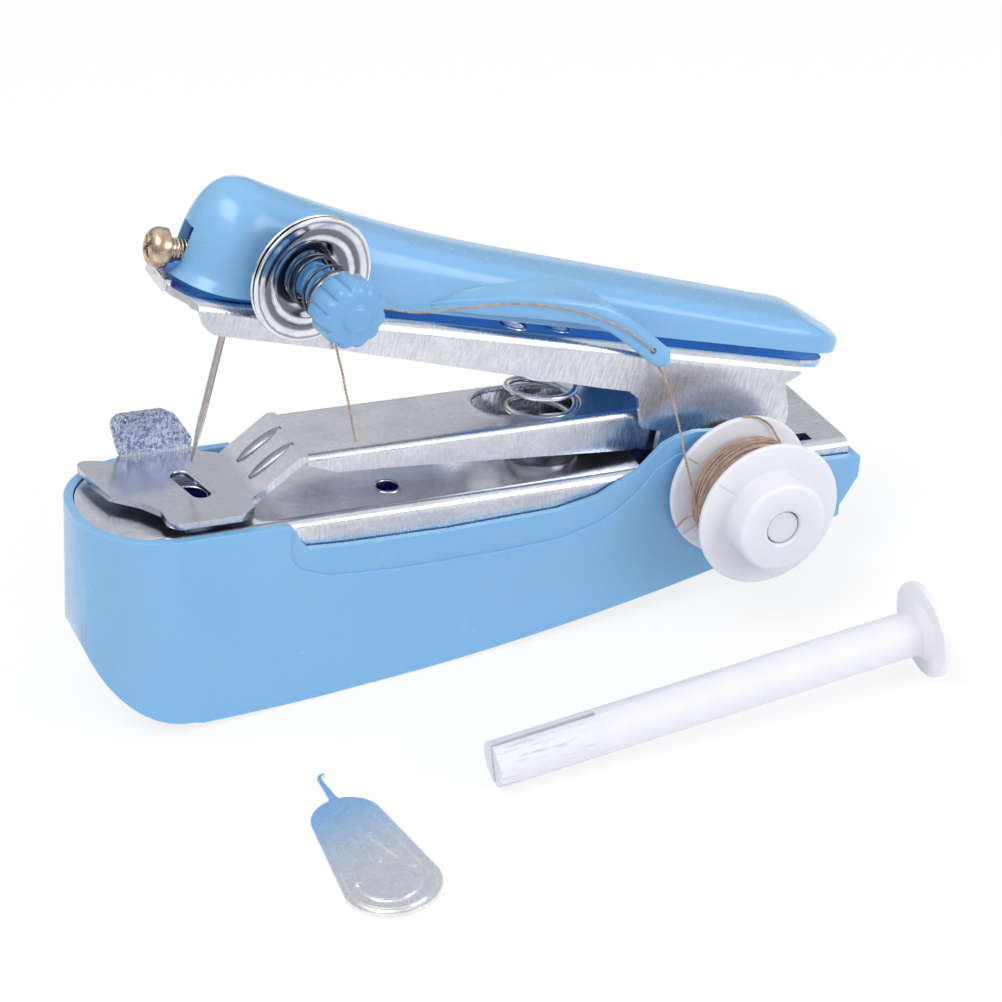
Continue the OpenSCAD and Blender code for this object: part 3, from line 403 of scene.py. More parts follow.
RUN = [(-60.86, -9.05, 16.5), (-59.97, -8.88, 16.9), (-58.1, -8.7, 17.4), (-55.4, -8.3, 17.7),
       (-52.5, -7.5, 17.3), (-50, -7.45, 17.3), (-47.4, -7.7, 18.0), (-44, -8.5, 19.1), (-40.4, -9.2, 20.2),
       (-36.5, -9.75, 20.9), (-32.5, -10.45, 21.1), (-28.2, -11.15, 20.8), (-23.4, -11.6, 19.7),
       (-19.9, -11.6, 18.2), (-18.1, -11.58, 17.2), (-17.6, -11.45, 16.9), (-17.5, -11.1, 16.8),
       (-17.5, -10.15, 16.75)]
TAIL = [(-62.43, -9.36, 14.9), (-61.94, -9.26, 14.15), (-61.4, -9.3, 13.2), (-60.55, -9.6, 11.2),
        (-59.6, -10.0, 9.2), (-58.8, -10.05, 7.4), (-58.0, -10.0, 5.8), (-57.2, -9.9, 4.2),
        (-56.5, -9.8, 2.7), (-55.8, -9.7, 1.2), (-55.2, -9.6, 0.0)]
# radius of the winding, the last turn's radius, and the axis of the bobbin in the bed's frame
WOUND_R = 7.8
LAST_R, AXIS_X, AXIS_Z = WOUND_R + 0.21, 20, -2.5
DROP = [(6.75, -9.8, 17.45), (7.3, -9.78, 16.7), (8.1, -9.8, 15.4), (8.45, -10.15, 14.5), (8.95, -11.1, 13.2),
        (9.6, -12.4, 10.8), (10.0, -13.5, 8.4), (10.35, -14.6, 5.8), (10.7, -15.6, 3.2), (11.3, -16.4, 0.4)]
# on the winding it goes a fifth of a turn round, creeping outwards
DROP += [(AXIS_X + LAST_R * math.cos(math.radians(a)), -17.1 - (a - 184) * 0.004,
          AXIS_Z + LAST_R * math.sin(math.radians(a))) for a in range(184, 255, 10)]

fit(thread("thread_on_cover", ARM, RUN), THREAD, "needle_arm", ["thread_run"])
tail = fit(thread("thread_free_end", ARM, TAIL), THREAD, "needle_arm", ["thread_tail"])
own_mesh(tail)
drop = fit(thread("thread_to_bobbin", BED, DROP), THREAD, None, ["thread_drop"])
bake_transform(drop)

# ---- Base ----
# One hollow moulding of glossy sky-blue ABS with a wall of 1.2 mm. Its long curve has
# a small land that it stands on, and its rim rises in a hump beside the hinge.


def blue_plastic(name, colour, gloss):
    made, at = finish_with(name, Coat_Weight=0.25, Coat_Roughness=0.08, Subsurface_Weight=0.4,
                           Subsurface_Scale=0.0022, Subsurface_Radius=(0.22, 0.5, 1.0))
    cloud = noise(at, 0.11, 3.0)
    grain = noise(at, 14.0, 2.0)
    streaks = above(noise(stretched(at, 0.5, 0.5, 2.4), 1.6, 6.0, 0.75), 0.60, 0.80)
    speck = above(noise(at, 3.4, 1.0), 0.735, 0.76)
    deep = tuple(v * 0.97 for v in colour)
    pale = tuple(v * 0.86 + 0.14 for v in colour)
    tone = mixed(above(cloud, 0.20, 0.80), deep, colour)
    feed(made, Base_Color=mixed(streaks * 0.10 + speck * 0.5, tone, pale),
         Roughness=cloud * 0.05 + streaks * 0.10 + gloss,
         Normal=relief(cloud * 0.35 + grain * 0.05 + streaks * 0.03, 0.12, 0.7))
    return made


BLUE = blue_plastic("blue_abs", levels(127, 181, 224), 0.24)


# in degrees: below the first, faces count as one flat face; above the second, an edge is broken
FLAT, CORNER = 0.7, 28


def softened(node, name, width):
    """A copy of a CAD node with its triangles joined up and its edges broken by a width in millimetres."""
    form = bmesh.new()
    form.from_mesh(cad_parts[node].data)
    bmesh.ops.remove_doubles(form, verts=form.verts, dist=3e-6)
    bmesh.ops.dissolve_limit(form, angle_limit=math.radians(FLAT), verts=form.verts, edges=form.edges)
    weight = form.edges.layers.float.new("bevel_weight_edge")
    for edge in form.edges:
        if len(edge.link_faces) == 2 and edge.calc_face_angle(0) > math.radians(CORNER):
            edge[weight] = 1.0
    mesh = bpy.data.meshes.new(name)
    form.to_mesh(mesh)
    form.free()
    mesh.shade_smooth()
    piece = add_object(name, mesh)
    if width:
        edges = piece.modifiers.new("broken_edges", "BEVEL")
        edges.limit_method, edges.width, edges.segments = "WEIGHT", width / 1000, 2
    piece.modifiers.new("flat_faces", "WEIGHTED_NORMAL").keep_sharp = True
    return settled(piece)


def settled(piece):
    """The piece with its modifiers worked out and taken off, as a plain mesh."""
    evaluated = piece.evaluated_get(bpy.context.evaluated_depsgraph_get())
    mesh = bpy.data.meshes.new_from_object(evaluated)
    piece.modifiers.clear()
    old, piece.data = piece.data, mesh
    mesh.name = piece.name
    bpy.data.meshes.remove(old)
    return piece


def dressed(node, name, width, finish, body):
    """A softened copy of a CAD node, in its place and with its finish."""
    return fit(softened(node, name, width), finish, body, [node])


dressed("base_shell", "base_moulding", 0.28, BLUE, "base")

# ---- Bed ----
# A channel pressed from zinc-plated sheet and let into the base, with a needle hole,
# two rimmed holes and an opening round the hinge for both arms.


def measure(at, matrix, axis):
    """A place's distance in millimetres along an axis of a part's own frame."""
    way = matrix.to_3x3() @ Vector(axis)
    far = at.node("VectorMath", {0: at, 1: way}, 1, operation="DOT_PRODUCT")
    return far - 1000 * (matrix.translation @ way)


def crystals(at, along, tone):
    """The coarse crystal of the tab, bent up past the foot's far edge, and a painted shade on the foot's low
    flat: its tone and its relief.
    """
    level = measure(at, BED, (0, 0, 1))
    tab = spread(axis_of(at, 1), 0, 20, (8.4, 0.0), (8.6, 1.0)) * spread(level, 0, 10, (2.0, 0.0), (2.7, 1.0))
    crystal = above(noise(along, 2.3, 2.0, 0.9), 0.42, 0.54)
    # painted shade: the foot's low flat, below about 2.1 to 3 mm, is painted darker
    tone = mixed(spread(level, 0, 10, (2.1, 0.45), (3.0, 0.0)), tone, levels(168, 174, 188))
    facets = mixed(crystal, levels(126, 136, 172), levels(208, 213, 230))
    return mixed(tab, tone, facets), crystal * tab * 0.6


def blue_light(at):
    """Where the cover's blue is painted on as a reflection and a glow: on the arm's top, and inside the
    channel near the hinge.
    """
    rise, far = measure(at, ARM, (0, 0, 1)), measure(at, ARM, (1, 0, 0))
    wide = axis_of(at, 1).math("ABSOLUTE")
    top = spread(rise, 0, 20, (15.92, 0.0), (16.04, 1.0)) * spread(wide, 0, 10, (6.55, 1.0), (7.05, 0.0))
    top = top * spread(far, -100, 20, (-81.4, 0.0), (-79, 1.0), (11, 1.0), (13.4, 0.0))
    inside = spread(rise, 0, 20, (15.5, 1.0), (15.8, 0.0)) * spread(wide, 0, 10, (7.0, 1.0), (7.12, 0.0))
    inside = inside * spread(far, -100, 20, (-40, 0.0), (-32.8, 1.0))
    return top.math("MAXIMUM", inside)


def zinc_plate(name, pitch, streak, spangle=False, painted_blue_glow=False):
    """Zinc-plated sheet: cloudy plating, a fine mottle, and draw marks down its flanges; painted_blue_glow
    adds a painted blue reflection and glow from the cover.
    """
    made, at = finish_with(name, Metallic=1.0, Emission_Strength=0.36 if painted_blue_glow else 0)
    along = at.node("Mapping", {"Vector": at, "Rotation": (0, -math.radians(pitch), 0)}, vector_type="POINT")
    cloud = noise(stretched(along, 0.10, 0.16, 0.22), 1.0, 4.0, 0.6)
    mottle = noise(along, 1.5, 5.0, 0.75)
    facing = at.node("NewGeometry", give="Normal")
    flange = ramp(axis_of(facing, 1).math("ABSOLUTE"), (0.35, 0.12), (0.80, 1.0))
    marks = noise(stretched(along, 3.2, 0.35, 0.42), 1.0, 4.0, 0.65)
    draws = above(marks, 0.46, 0.66) * flange
    spots = above(noise(along, 0.9, 6.0, 0.8), 0.62, 0.76)
    tone = mixed(above(cloud, 0.30, 0.70), levels(206, 209, 217), levels(234, 235, 240))
    tone = mixed(above(mottle, 0.42, 0.62, 0.35), tone, levels(188, 193, 205))
    tone = mixed(draws * streak, tone, levels(172, 177, 190))
    height, depth = cloud * 0.5 + mottle * 0.12 + draws * 0.12 + spots * 0.05, 0.08
    if spangle:
        tone, bumps = crystals(at, along, tone)
        height = height + bumps
    tone = mixed(spots * 0.3, tone, levels(160, 166, 180))
    if painted_blue_glow:
        # painted reflection of the cover's blue in the colour, and a painted glow in the emission
        blue = blue_light(at)
        tone = mixed(blue * 0.8, tone, levels(112, 170, 226))
        feed(made, Emission_Color=mixed(blue, (0, 0, 0), levels(62, 130, 200)))
    feed(made, Base_Color=tone,
         Roughness=cloud * 0.14 + draws * 0.14 + spots * 0.10 + 0.15, Normal=relief(height, depth, 0.8))
    return made


ZINC_BED = zinc_plate("zinc_plate_bed", BED_PITCH, 0.40)
# the arm's sheet gets the painted blue reflection and glow under the cover
ZINC_ARM = zinc_plate("zinc_plate_arm", BED_PITCH + ARM_OPEN, 0.45, painted_blue_glow=True)
ZINC_FOOT = zinc_plate("zinc_plate_foot", BED_PITCH, 0.30, spangle=True)
dressed("bed_plate", "bed_pressing", 0.22, ZINC_BED, "base")


def arc(x, y, z, r, start, end, count):
    return [(x + r * math.cos(math.radians(a)), y + r * math.sin(math.radians(a)), z)
            for a in np.linspace(start, end, count)]


def circle(x, y, z, r):
    return arc(x, y, z, r, 0, 351, 40)


def rim(name, matrix, outline, radius, finish, body):
    """The rounded lip of a pierced hole, swept round its outline."""
    path = placed(matrix, outline)
    ring = make_piece(name, *loop_tube(path, radius / 1000, 10))
    return fit(ring, finish, body, ())


def loop_tube(path, radius, sides):
    """A closed tube round a flat closed path."""
    n = len(path)
    normal = np.cross(path[n // 3] - path[0], path[2 * n // 3] - path[0])
    normal /= np.linalg.norm(normal)
    along = np.roll(path, -1, 0) - np.roll(path, 1, 0)
    out = np.cross(along / np.linalg.norm(along, axis=1)[:, None], normal)
    round_it = np.linspace(0, 2 * math.pi, sides, endpoint=False)[:, None]
    rings = path[:, None] + radius * (np.cos(round_it) * out[:, None] + np.sin(round_it) * normal)
    return rings.reshape(-1, 3), between(n, sides, closed=True)


for k, (x, y, r) in enumerate([(-27.3, -5, 1.75), (-27.3, 5, 1.75), (-52.6, 0, 2.5)]):
    rim(f"bed_hole_rim_{k}", BED, circle(x, y, -0.12, r), 0.28, ZINC_BED, "base")

# ---- Presser arm ----
# One pressing of the same sheet: a channel with a window for the main spring, a
# fluted ramp, and a forked foot with a needle slot and a thread tab.
dressed("presser_arm", "presser_pressing", 0.2, ZINC_FOOT, "presser")
RIM_Z, SPRING_X = 6.53, -3.138
WINDOW = arc(SPRING_X - 0.455, 0, RIM_Z, 5.5, 90, -143.1, 46) + arc(-8.8, 1.1, RIM_Z, 4.4, -90, -270, 32)
rim("window_rim", BED, WINDOW, 0.38, ZINC_FOOT, "presser")


def turned(points, centre, angle):
    c, s = math.cos(math.radians(angle)), math.sin(math.radians(angle))
    return [(centre[0] + c * x - s * y, centre[1] + s * x + c * y, z) for x, y, z in points]


SLOT = turned(arc(0, 2.7, 1.72, 1.5, 0, 180, 16) + arc(0, -2.7, 1.72, 1.5, 180, 360, 16), (-52.7, -0.7), 12)
rim("needle_slot_rim", BED, SLOT, 0.3, ZINC_FOOT, "presser")


def plated(name, colour, rough, darkening):
    """Bright plated or turned metal with faint, duller smears."""
    made, at = finish_with(name, Metallic=1.0)
    smear = noise(at, 0.7, 4.0, 0.65)
    fine = noise(at, 9.0, 3.0, 0.6)
    dull = tuple(v * 0.55 for v in colour)
    feed(made, Base_Color=mixed(above(smear, 0.48, 0.75, darkening), colour, dull),
         Roughness=smear * 0.12 + fine * 0.05 + rough, Normal=relief(fine, 0.008, 0.6))
    return made


# the flutes get a darker zinc, a painted shade for their pressed grooves
FLUTE_ZINC_SHADE = plated("flute_zinc_painted_shade", (0.36, 0.37, 0.41), 0.27, 0.8)


def flute(name, y):
    """A pressed rib that runs down the ramp and swells in its middle."""
    high, low = Vector((-39.6, y, 6.9)), Vector((-45.5, y, 2.75))
    count, sides, half, tall, sunk = 22, 16, 1.0, 0.62, 0.05
    down = (low - high).normalized()
    square = Vector((0, 1, 0)).cross(down)
    points = []
    for k in range(count):
        t = k / (count - 1)
        swell = math.sin(math.pi * min(max(t, 0.02), 0.98)) ** 0.45
        middle = high.lerp(low, t) - square * sunk
        for s in range(sides):
            a = 2 * math.pi * s / sides
            across = Vector((0, math.cos(a) * half * swell, 0))
            points.append(middle + across + square * (math.sin(a) * tall * swell))
    rib = make_piece(name, placed(BED, points), capped(count, sides))
    # darker zinc on the rib: a painted shade
    fit(rib, FLUTE_ZINC_SHADE, "presser", ())


flute("ramp_flute_far", 2.2)
flute("ramp_flute_near", -2.6)

# ---- Springs ----
# Coiled from nickel-plated or blued spring wire, with closed turns at both ends: the
# main spring under the arm, the tension spring and the looper's return spring.


NICKEL = plated("nickel_plate", (0.80, 0.80, 0.83), 0.04, 0.5)
DARK_WIRE = plated("blued_wire", (0.11, 0.115, 0.14), 0.14, 0.4)


def coil_tree():
    """A wire wound along Z with one closed turn at each end, as a node tree."""
    tree = bpy.data.node_groups.new("wound_wire", "GeometryNodeTree")
    kinds = {"Radius": "Float", "Wire": "Float", "Turns": "Float", "Height": "Float", "Steps": "Int",
             "Sides": "Int"}
    sizes = {label: tree.interface.new_socket(label, in_out="INPUT", socket_type="NodeSocket" + kind)
             for label, kind in kinds.items()}
    tree.interface.new_socket("Geometry", in_out="OUTPUT", socket_type="NodeSocketGeometry")
    given = tree.nodes.new("NodeGroupInput")
    at = {label: Field(tree, given.outputs[label]) for label in sizes}
    start = Field(tree)
    points = start.node("MeshLine", {"Count": at["Steps"]}, mode="OFFSET")
    turns = start.node("InputIndex") / (at["Steps"] - 1) * at["Turns"]
    climb = at["Height"] - 3 * at["Wire"]
    first = turns.math("MINIMUM", 1.0)
    open_part = ((turns - 1) / (at["Turns"] - 2)).math("MAXIMUM", 0.0).math("MINIMUM", 1.0)
    last = (turns - (at["Turns"] - 1)).math("MAXIMUM", 0.0)
    height = (first + last) * at["Wire"] + open_part * climb + at["Wire"] / 2
    angle = turns * (2 * math.pi)
    place = start.node("CombineXYZ", {0: angle.math("COSINE") * at["Radius"],
                                      1: angle.math("SINE") * at["Radius"], 2: height})
    moved = start.node("SetPosition", {"Geometry": points, "Position": place})
    curve = start.node("MeshToCurve", {"Mesh": moved})
    section = start.node("CurvePrimitiveCircle", {"Resolution": at["Sides"], "Radius": at["Wire"] / 2})
    skin = start.node("CurveToMesh", {"Curve": curve, "Profile Curve": section, "Fill Caps": True})
    smooth = start.node("SetShadeSmooth", {"Geometry": skin})
    out = tree.nodes.new("NodeGroupOutput")
    tree.links.new(smooth.out, out.inputs[0])
    return tree, {label: socket.identifier for label, socket in sizes.items()}


COIL, COIL_INPUT = coil_tree()


def wound(name, matrix, rule, **sizes):
    """A coil from the tree, with its points put in a part's own frame by a rule in millimetres."""
    piece = add_object(name, bpy.data.meshes.new(name))
    coil = piece.modifiers.new("coil", "NODES")
    coil.node_group = COIL
    for label, value in sizes.items():
        coil[COIL_INPUT[label]] = value
    settled(piece)
    for point in piece.data.vertices:
        point.co = matrix @ (Vector(rule(point.co * 1000)) / 1000)
    face_outwards(piece.data, weld=True)
    return piece


# the main spring's height, its lean towards the nose, and the slope of its top turn, under the open arm
SPRING_H = 18.496
LEAN, OPEN = math.tan(math.radians(-4)), math.tan(math.radians(ARM_OPEN))



def main_spring_rule(p):
    return SPRING_X + p.x + p.z * LEAN, p.y, 0.04 + p.z - p.x * OPEN * (p.z / SPRING_H)


main_spring = wound("main_spring_coil", BED, main_spring_rule, Radius=0.00465, Wire=0.0009,
                    Turns=7.5, Height=SPRING_H / 1000, Steps=480, Sides=14)
fit(main_spring, NICKEL, None, ["main_spring"])
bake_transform(main_spring)

# distances along the post: middle of the discs, face of the knob and its length
POST = ARM @ shift(-0.06835, 0, 0.02135) @ turn(7, "Z")
DISC_Y, KNOB_Y, KNOB_LEN = 10.34, 22.54, 5.2
DISC_T, DISC_DISH, DISC_GAP, KEY_T = 0.4, 0.9, 0.4, 0.28
TENSION_FROM = DISC_Y + DISC_GAP / 2 - DISC_DISH + DISC_T + KEY_T
TENSION_TO = KNOB_Y - KNOB_LEN - 0.7

tension_spring = wound("tension_spring_coil", POST, lambda p: (p.x, -TENSION_FROM - p.z, p.y),
                       Radius=0.0033, Wire=0.00044, Turns=4.0, Height=(TENSION_TO - TENSION_FROM) / 1000,
                       Steps=240, Sides=12)
fit(tension_spring, DARK_WIRE, "needle_arm", ["tension_spring"])

# ---- Needle arm ----
# The long lever, a channel of the same zinc-plated sheet with two ears that go down
# through the bed to the hinge. Two rimmed holes show at the cover's edge.
dressed("needle_arm", "arm_pressing", 0.22, ZINC_ARM, "needle_arm")
ARM_TOP = 16.1
for k, (u, y) in enumerate([(-35.2, -4.9), (-28.4, -4.1)]):
    rim(f"arm_hole_rim_{k}", ARM, circle(u, y, ARM_TOP - 0.1, 1.7), 0.32, NICKEL, "needle_arm")

# ---- Cover ----
# A thin hollow moulding of the same blue ABS, riveted on top of the arm: narrow where
# it is gripped, higher and rounder at the nose, with a notch for the clamp screw.
# U runs along the arm, and is 0 at the hinge. EDGE is the half width at each U: round the nose, down to the
# grip and round the tail.
NOSE, GRIP, NOSE_U, TAIL_U = 16.6 / 2, 12.5 / 2, -81.8, 9.4
EDGE = [(NOSE_U + u, NOSE * s) for u, s in
        [(0, 0.12), (0.12, 0.28), (1.1, 0.53), (2.2, 0.73), (3.5, 0.87), (5.2, 0.96), (7.2, 1)]]
EDGE += [(u, NOSE * s + GRIP * (1 - s)) for u, s in
         [(-71.5, 0.86), (-68, 0.72), (-64, 0.55), (-60, 0.38), (-54, 0.12), (-48, 0), (-40, 0), (-30, 0),
          (-20, 0), (-10, 0), (0, 0), (6, 0), (TAIL_U, 0)]]
EDGE += [(12.4, GRIP * 0.98), (14.8, GRIP * 0.77), (16.2, GRIP * 0.42), (16.8, GRIP * 0.1)]
COVER_LOW, COVER_WALL, CROWN = 16.9, 1.3, 0.35
# the roof: its height at the tail, its slope up towards the nose, where it starts to curve and on what
# radius, how high it gets, and how steeply it falls behind the tail
ROOF_H, ROOF_SLOPE, CURVE_U, CURVE_R, ROOF_MOST, TAIL_FALL = 20.8, 0.0563, -36, 186, 29.27, 0.36
# height of the rounded upper corners, and their share of the half width, along the cover
CORNER_U = (-82, -70, -50, -30, 6, 12, 17)
CORNER_HIGH = (10.9, 10, 3.8, 3, 2.6, 1.1, 0.7)
CORNER_WIDE = (0.77, 0.75, 0.54, 0.48, 0.44, 0.3, 0.3)


def cover_top(u):
    rise = ROOF_H + ROOF_SLOPE * (TAIL_U - u) + max(0, CURVE_U - u) ** 2 / (2 * CURVE_R)
    return min(ROOF_MOST, rise) - (TAIL_FALL - ROOF_SLOPE) * max(0, u - TAIL_U)


def cover_rings(inset):
    """Rings of points from the cover's edge up to its roof, and the roof's middle line."""
    m = len(EDGE)
    loop = [Vector((u, -w)) for u, w in EDGE] + [Vector((u, w)) for u, w in EDGE[::-1]]
    n = len(loop)
    along = [(loop[(k + 1) % n] - loop[k - 1]).normalized() for k in range(n)]
    plan = [p + inset * Vector((-t.y, t.x)) for p, t in zip(loop, along)]
    high = [np.interp(p.x, CORNER_U, CORNER_HIGH) for p in plan]
    wide = [np.interp(p.x, CORNER_U, CORNER_WIDE) for p in plan]
    # the roof is drawn in at the nose and reaches a little less far at the tail
    roof = [Vector((p.x + 0.50 * max(0, -70 - p.x) - 0.15 * max(0, p.x - 12), p.y * (1 - s)))
            for p, s in zip(plan, wide)]
    top = [cover_top(q.x) - inset for q in roof]
    bend = [max(0.2, min(h - inset * 0.6, t - COVER_LOW - 0.3)) for h, t in zip(high, top)]
    # the side leans in, most of all round the nose
    lean = [0.05 + 0.15 * max(0, min(1, (-72 - p.x) / 8)) for p in plan]
    first = [p + (q - p) * s for p, q, s in zip(plan, roof, lean)]
    rings = [[(*p, COVER_LOW) for p in plan]]
    for share in (0.12, 0.5):
        rings.append([(*p.lerp(f, share), COVER_LOW + (t - b - COVER_LOW) * share)
                      for p, f, t, b in zip(plan, first, top, bend)])
    for a in range(0, 91, 15):
        s, c = math.sin(math.radians(a)), math.cos(math.radians(a))
        rings.append([(*(f + (q - f) * (1 - c)), t - b + b * s)
                      for f, q, t, b in zip(first, roof, top, bend)])
    spine = [(roof[k].x, 0, top[k] + CROWN) for k in range(m)]
    return rings, spine


def cover_skin(inset):
    """Points and faces of one skin of the cover, open below."""
    rings, spine = cover_rings(inset)
    n, m, tall = len(rings[0]), len(spine), len(rings)
    points = [p for ring in rings for p in ring] + spine
    faces = between(tall, n)
    up, mid = (tall - 1) * n, tall * n
    for k in range(m - 1):
        faces += [(up + k, up + k + 1, mid + k + 1, mid + k),
                  (mid + k, mid + k + 1, up + n - 2 - k, up + n - 1 - k)]
    faces += [(up + n - 1, up, mid), (up + m - 1, up + m, mid + m - 1)]
    return points, faces


def cut_with(piece, *cutters):
    """Cuts other closed objects out of a closed piece, and removes them."""
    for cutter in cutters:
        piece.modifiers.new("cut", "BOOLEAN").object = cutter
    settled(piece)
    for cutter in cutters:
        bpy.data.objects.remove(cutter)
    return piece


def block(matrix, low, high):
    corners = [(x, y, z) for x in (low[0], high[0]) for y in (low[1], high[1]) for z in (low[2], high[2])]
    faces = [(0, 1, 3, 2), (4, 6, 7, 5), (0, 4, 5, 1), (2, 3, 7, 6), (0, 2, 6, 4), (1, 5, 7, 3)]
    return make_piece("cutter", placed(matrix, corners), faces)


def subdivided(piece):
    round_off = piece.modifiers.new("round", "SUBSURF")
    round_off.levels = round_off.render_levels = 2
    return settled(piece)


def hollow_cover():
    """Both skins, joined along the lower edge, which stays fairly crisp when they are subdivided."""
    outer, inner = cover_skin(0), cover_skin(COVER_WALL)
    count, ring = len(outer[0]), 2 * len(EDGE)
    points, faces = joined(outer, inner)
    faces += [(k, (k + 1) % ring, count + (k + 1) % ring, count + k) for k in range(ring)]
    piece = make_piece("cover_moulding", placed(ARM, points), faces)
    crease = piece.data.attributes.new("crease_edge", "FLOAT", "EDGE")
    for edge in piece.data.edges:
        a, b = edge.vertices
        if max(a % count, b % count) < ring and abs(a - b) < count - ring:
            crease.data[edge.index].value = 0.75
    return subdivided(piece)


cover = hollow_cover()
cut_with(cover, block(ARM, (NOSE_U - 1.5, -1.7, 10), (NOSE_U + 3, 1.7, 23)))
sharpen(cover, 40)
fit(cover, BLUE, "needle_arm", ["top_cover"])

# ---- Thread guide ----
# A curved fin moulded on the cover's near side: a ledge that carries the thread and
# ends in a rounded tongue with a small eye.
# each station: place in the arm's frame, and half the fin's height there
GUIDE = [(-48.5, -6.05, 17.9, 0.3), (-46.5, -6.5, 18.3, 0.65), (-42.5, -7.5, 19.05, 1.1),
         (-38, -8.4, 19.8, 1.4), (-33, -9.3, 20.35, 1.5), (-28, -10.0, 20.55, 1.5),
         (-24.6, -10.45, 20.2, 1.5), (-20, -10.65, 18.1, 1.5), (-15.9, -10.7, 15.95, 1.5)]
LEDGE, LIFT = 1.02, 0.9


def shoulder(u, n):
    """Where the cover's near side is at height n, and how far it leans back there per unit of height."""
    low, wide = cover_top(u) - np.interp(u, CORNER_U, CORNER_HIGH), np.interp(u, CORNER_U, CORNER_WIDE)
    tall = cover_top(u) - low
    start = -GRIP * (1 - 0.05 * wide)
    depth = -GRIP * (1 - wide) - start
    a = math.asin(min(0.95, max(0.0, (n - low) / tall)))
    return start + depth * (1 - math.cos(a)), depth * math.sin(a) / (tall * math.cos(a))


def guide_fin():
    """The fin and its ledge, one cross-section at each station."""
    path = smooth_path([g[:3] for g in GUIDE], 0.6)
    tall = np.interp(path[:, 0], [g[0] for g in GUIDE], [g[3] for g in GUIDE])
    along = np.gradient(path, axis=0)
    stations = []
    for (u, y, n), r, t in zip(path, tall, along):
        up = Vector((-t[2], 0, t[0])).normalized()
        web = float(np.interp(u, (-29, -21.5), (1, 0)))
        thick = float(np.interp(u, (-48.5, -40), (0.08, 0.6)))
        stations.append((Vector((u, y, n)), up, r, web * web * (3 - 2 * web), thick))
    end, up, r, web, thick = stations[-1]
    onward = Vector((up.z, 0, -up.x))
    stations += [(end + onward * (r * math.sin(a)), up, r * math.cos(a), 0, thick)
                 for a in (0.4, 0.8, 1.15, 1.4)]
    points = []
    for middle, up, r, web, h in stations:
        y = middle.y
        # the ledge runs back and turns up into the cover's side without a crease
        ledge = middle.z + LEDGE * r
        rise = min(LIFT, cover_top(middle.x) - 0.25 - ledge)
        wall, lean = shoulder(middle.x, ledge + rise)
        bend = wall - rise * lean
        root = []
        for s in (0.0, 0.3, 0.6, 0.85, 1.0):
            back = (1 - s) ** 2 * (y + 0.3) + 2 * s * (1 - s) * bend + s * s * wall
            root.append((y + (back - y) * web + h * s * (1 - web),
                         LEDGE * r + rise * s * s * web - 0.3 * r * s * (1 - web)))
        inner = (wall + 0.8) * web + (y + h) * (1 - web)
        ring = [(y - 0.25, -r), (y - h, -0.62 * r), (y - h, 0.45 * r), (y - 0.35, 0.9 * r), (y, LEDGE * r),
                *root, (inner, 0.5 * r), (y + h, 0.36 * r), (y + h, -0.62 * r), (y + 0.25, -r)]
        points += [Vector((middle.x, across, middle.z)) + up * high for across, high in ring]
    return placed(ARM, points), capped(len(stations), len(ring))


fin = subdivided(make_piece("thread_guide", *guide_fin()))
EYE_U, EYE_N, EYE_R = -17.5, 16.8, 0.00045
eye = placed(ARM, [(EYE_U, y, EYE_N) for y in (-14, -12, -9, -7)])
cut_with(fin, make_piece("cutter", *tube(eye, EYE_R, 16)))
sharpen(fin, 40)
fit(fin, BLUE, "needle_arm", ())

# ---- Needle, its clamp and its screw ----
# A polished needle held in a blue plastic block by a yellow-plated cross-head screw
# that comes in through the nose.
CLEAR_BLUE = blue_plastic("blue_insert", levels(96, 160, 216), 0.16)
dressed("needle_clamp", "needle_block", 0.25, CLEAR_BLUE, "needle_arm")
NEEDLE_STEEL = plated("needle_steel", (0.44, 0.41, 0.40), 0.12, 0.8)
sharpen(dressed("needle", "polished_needle", 0, NEEDLE_STEEL, "needle_arm"), 35)


def yellow_plate():
    """Yellow passivated zinc, browner in patches."""
    made, at = finish_with("yellow_zinc", Metallic=1.0)
    patch = noise(at, 1.1, 3.0, 0.6)
    fine = noise(at, 7.0, 3.0, 0.6)
    tone = mixed(above(patch, 0.35, 0.65), levels(214, 200, 178), levels(176, 146, 124))
    tone = mixed(above(fine, 0.55, 0.75, 0.7), tone, levels(240, 234, 222))
    feed(made, Base_Color=tone, Roughness=patch * 0.2 + fine * 0.1 + 0.12, Normal=relief(fine, 0.02, 0.6))
    return made


YELLOW = yellow_plate()
sharpen(dressed("clamp_screw", "cross_head_screw", 0.12, YELLOW, "clamp_screw"), 40)
SCREW_U, SCREW_N, THREAD_LEN = -82.2, 19.4, 6.6

screw_thread = wound("screw_thread", ARM, lambda p: (SCREW_U + p.z, p.x, SCREW_N + p.y),
                     Radius=0.00122, Wire=0.00042, Turns=13.0, Height=THREAD_LEN / 1000, Steps=360, Sides=8)
fit(screw_thread, YELLOW, "clamp_screw", ())

# ---- Thread tension ----
# A slotted post through the nose carries two dished chromed discs, a spring, a keyed
# washer and a ribbed knob that screws down on them.
dressed("tension_post", "slotted_post", 0.15, CLEAR_BLUE, "needle_arm")
# the discs lie one in the other, a little askew on the post
ASKEW = POST @ shift(0, -DISC_Y / 1000, 0) @ turn(4, "Z")
POST_R, DISC_R = 2.4, 8.25


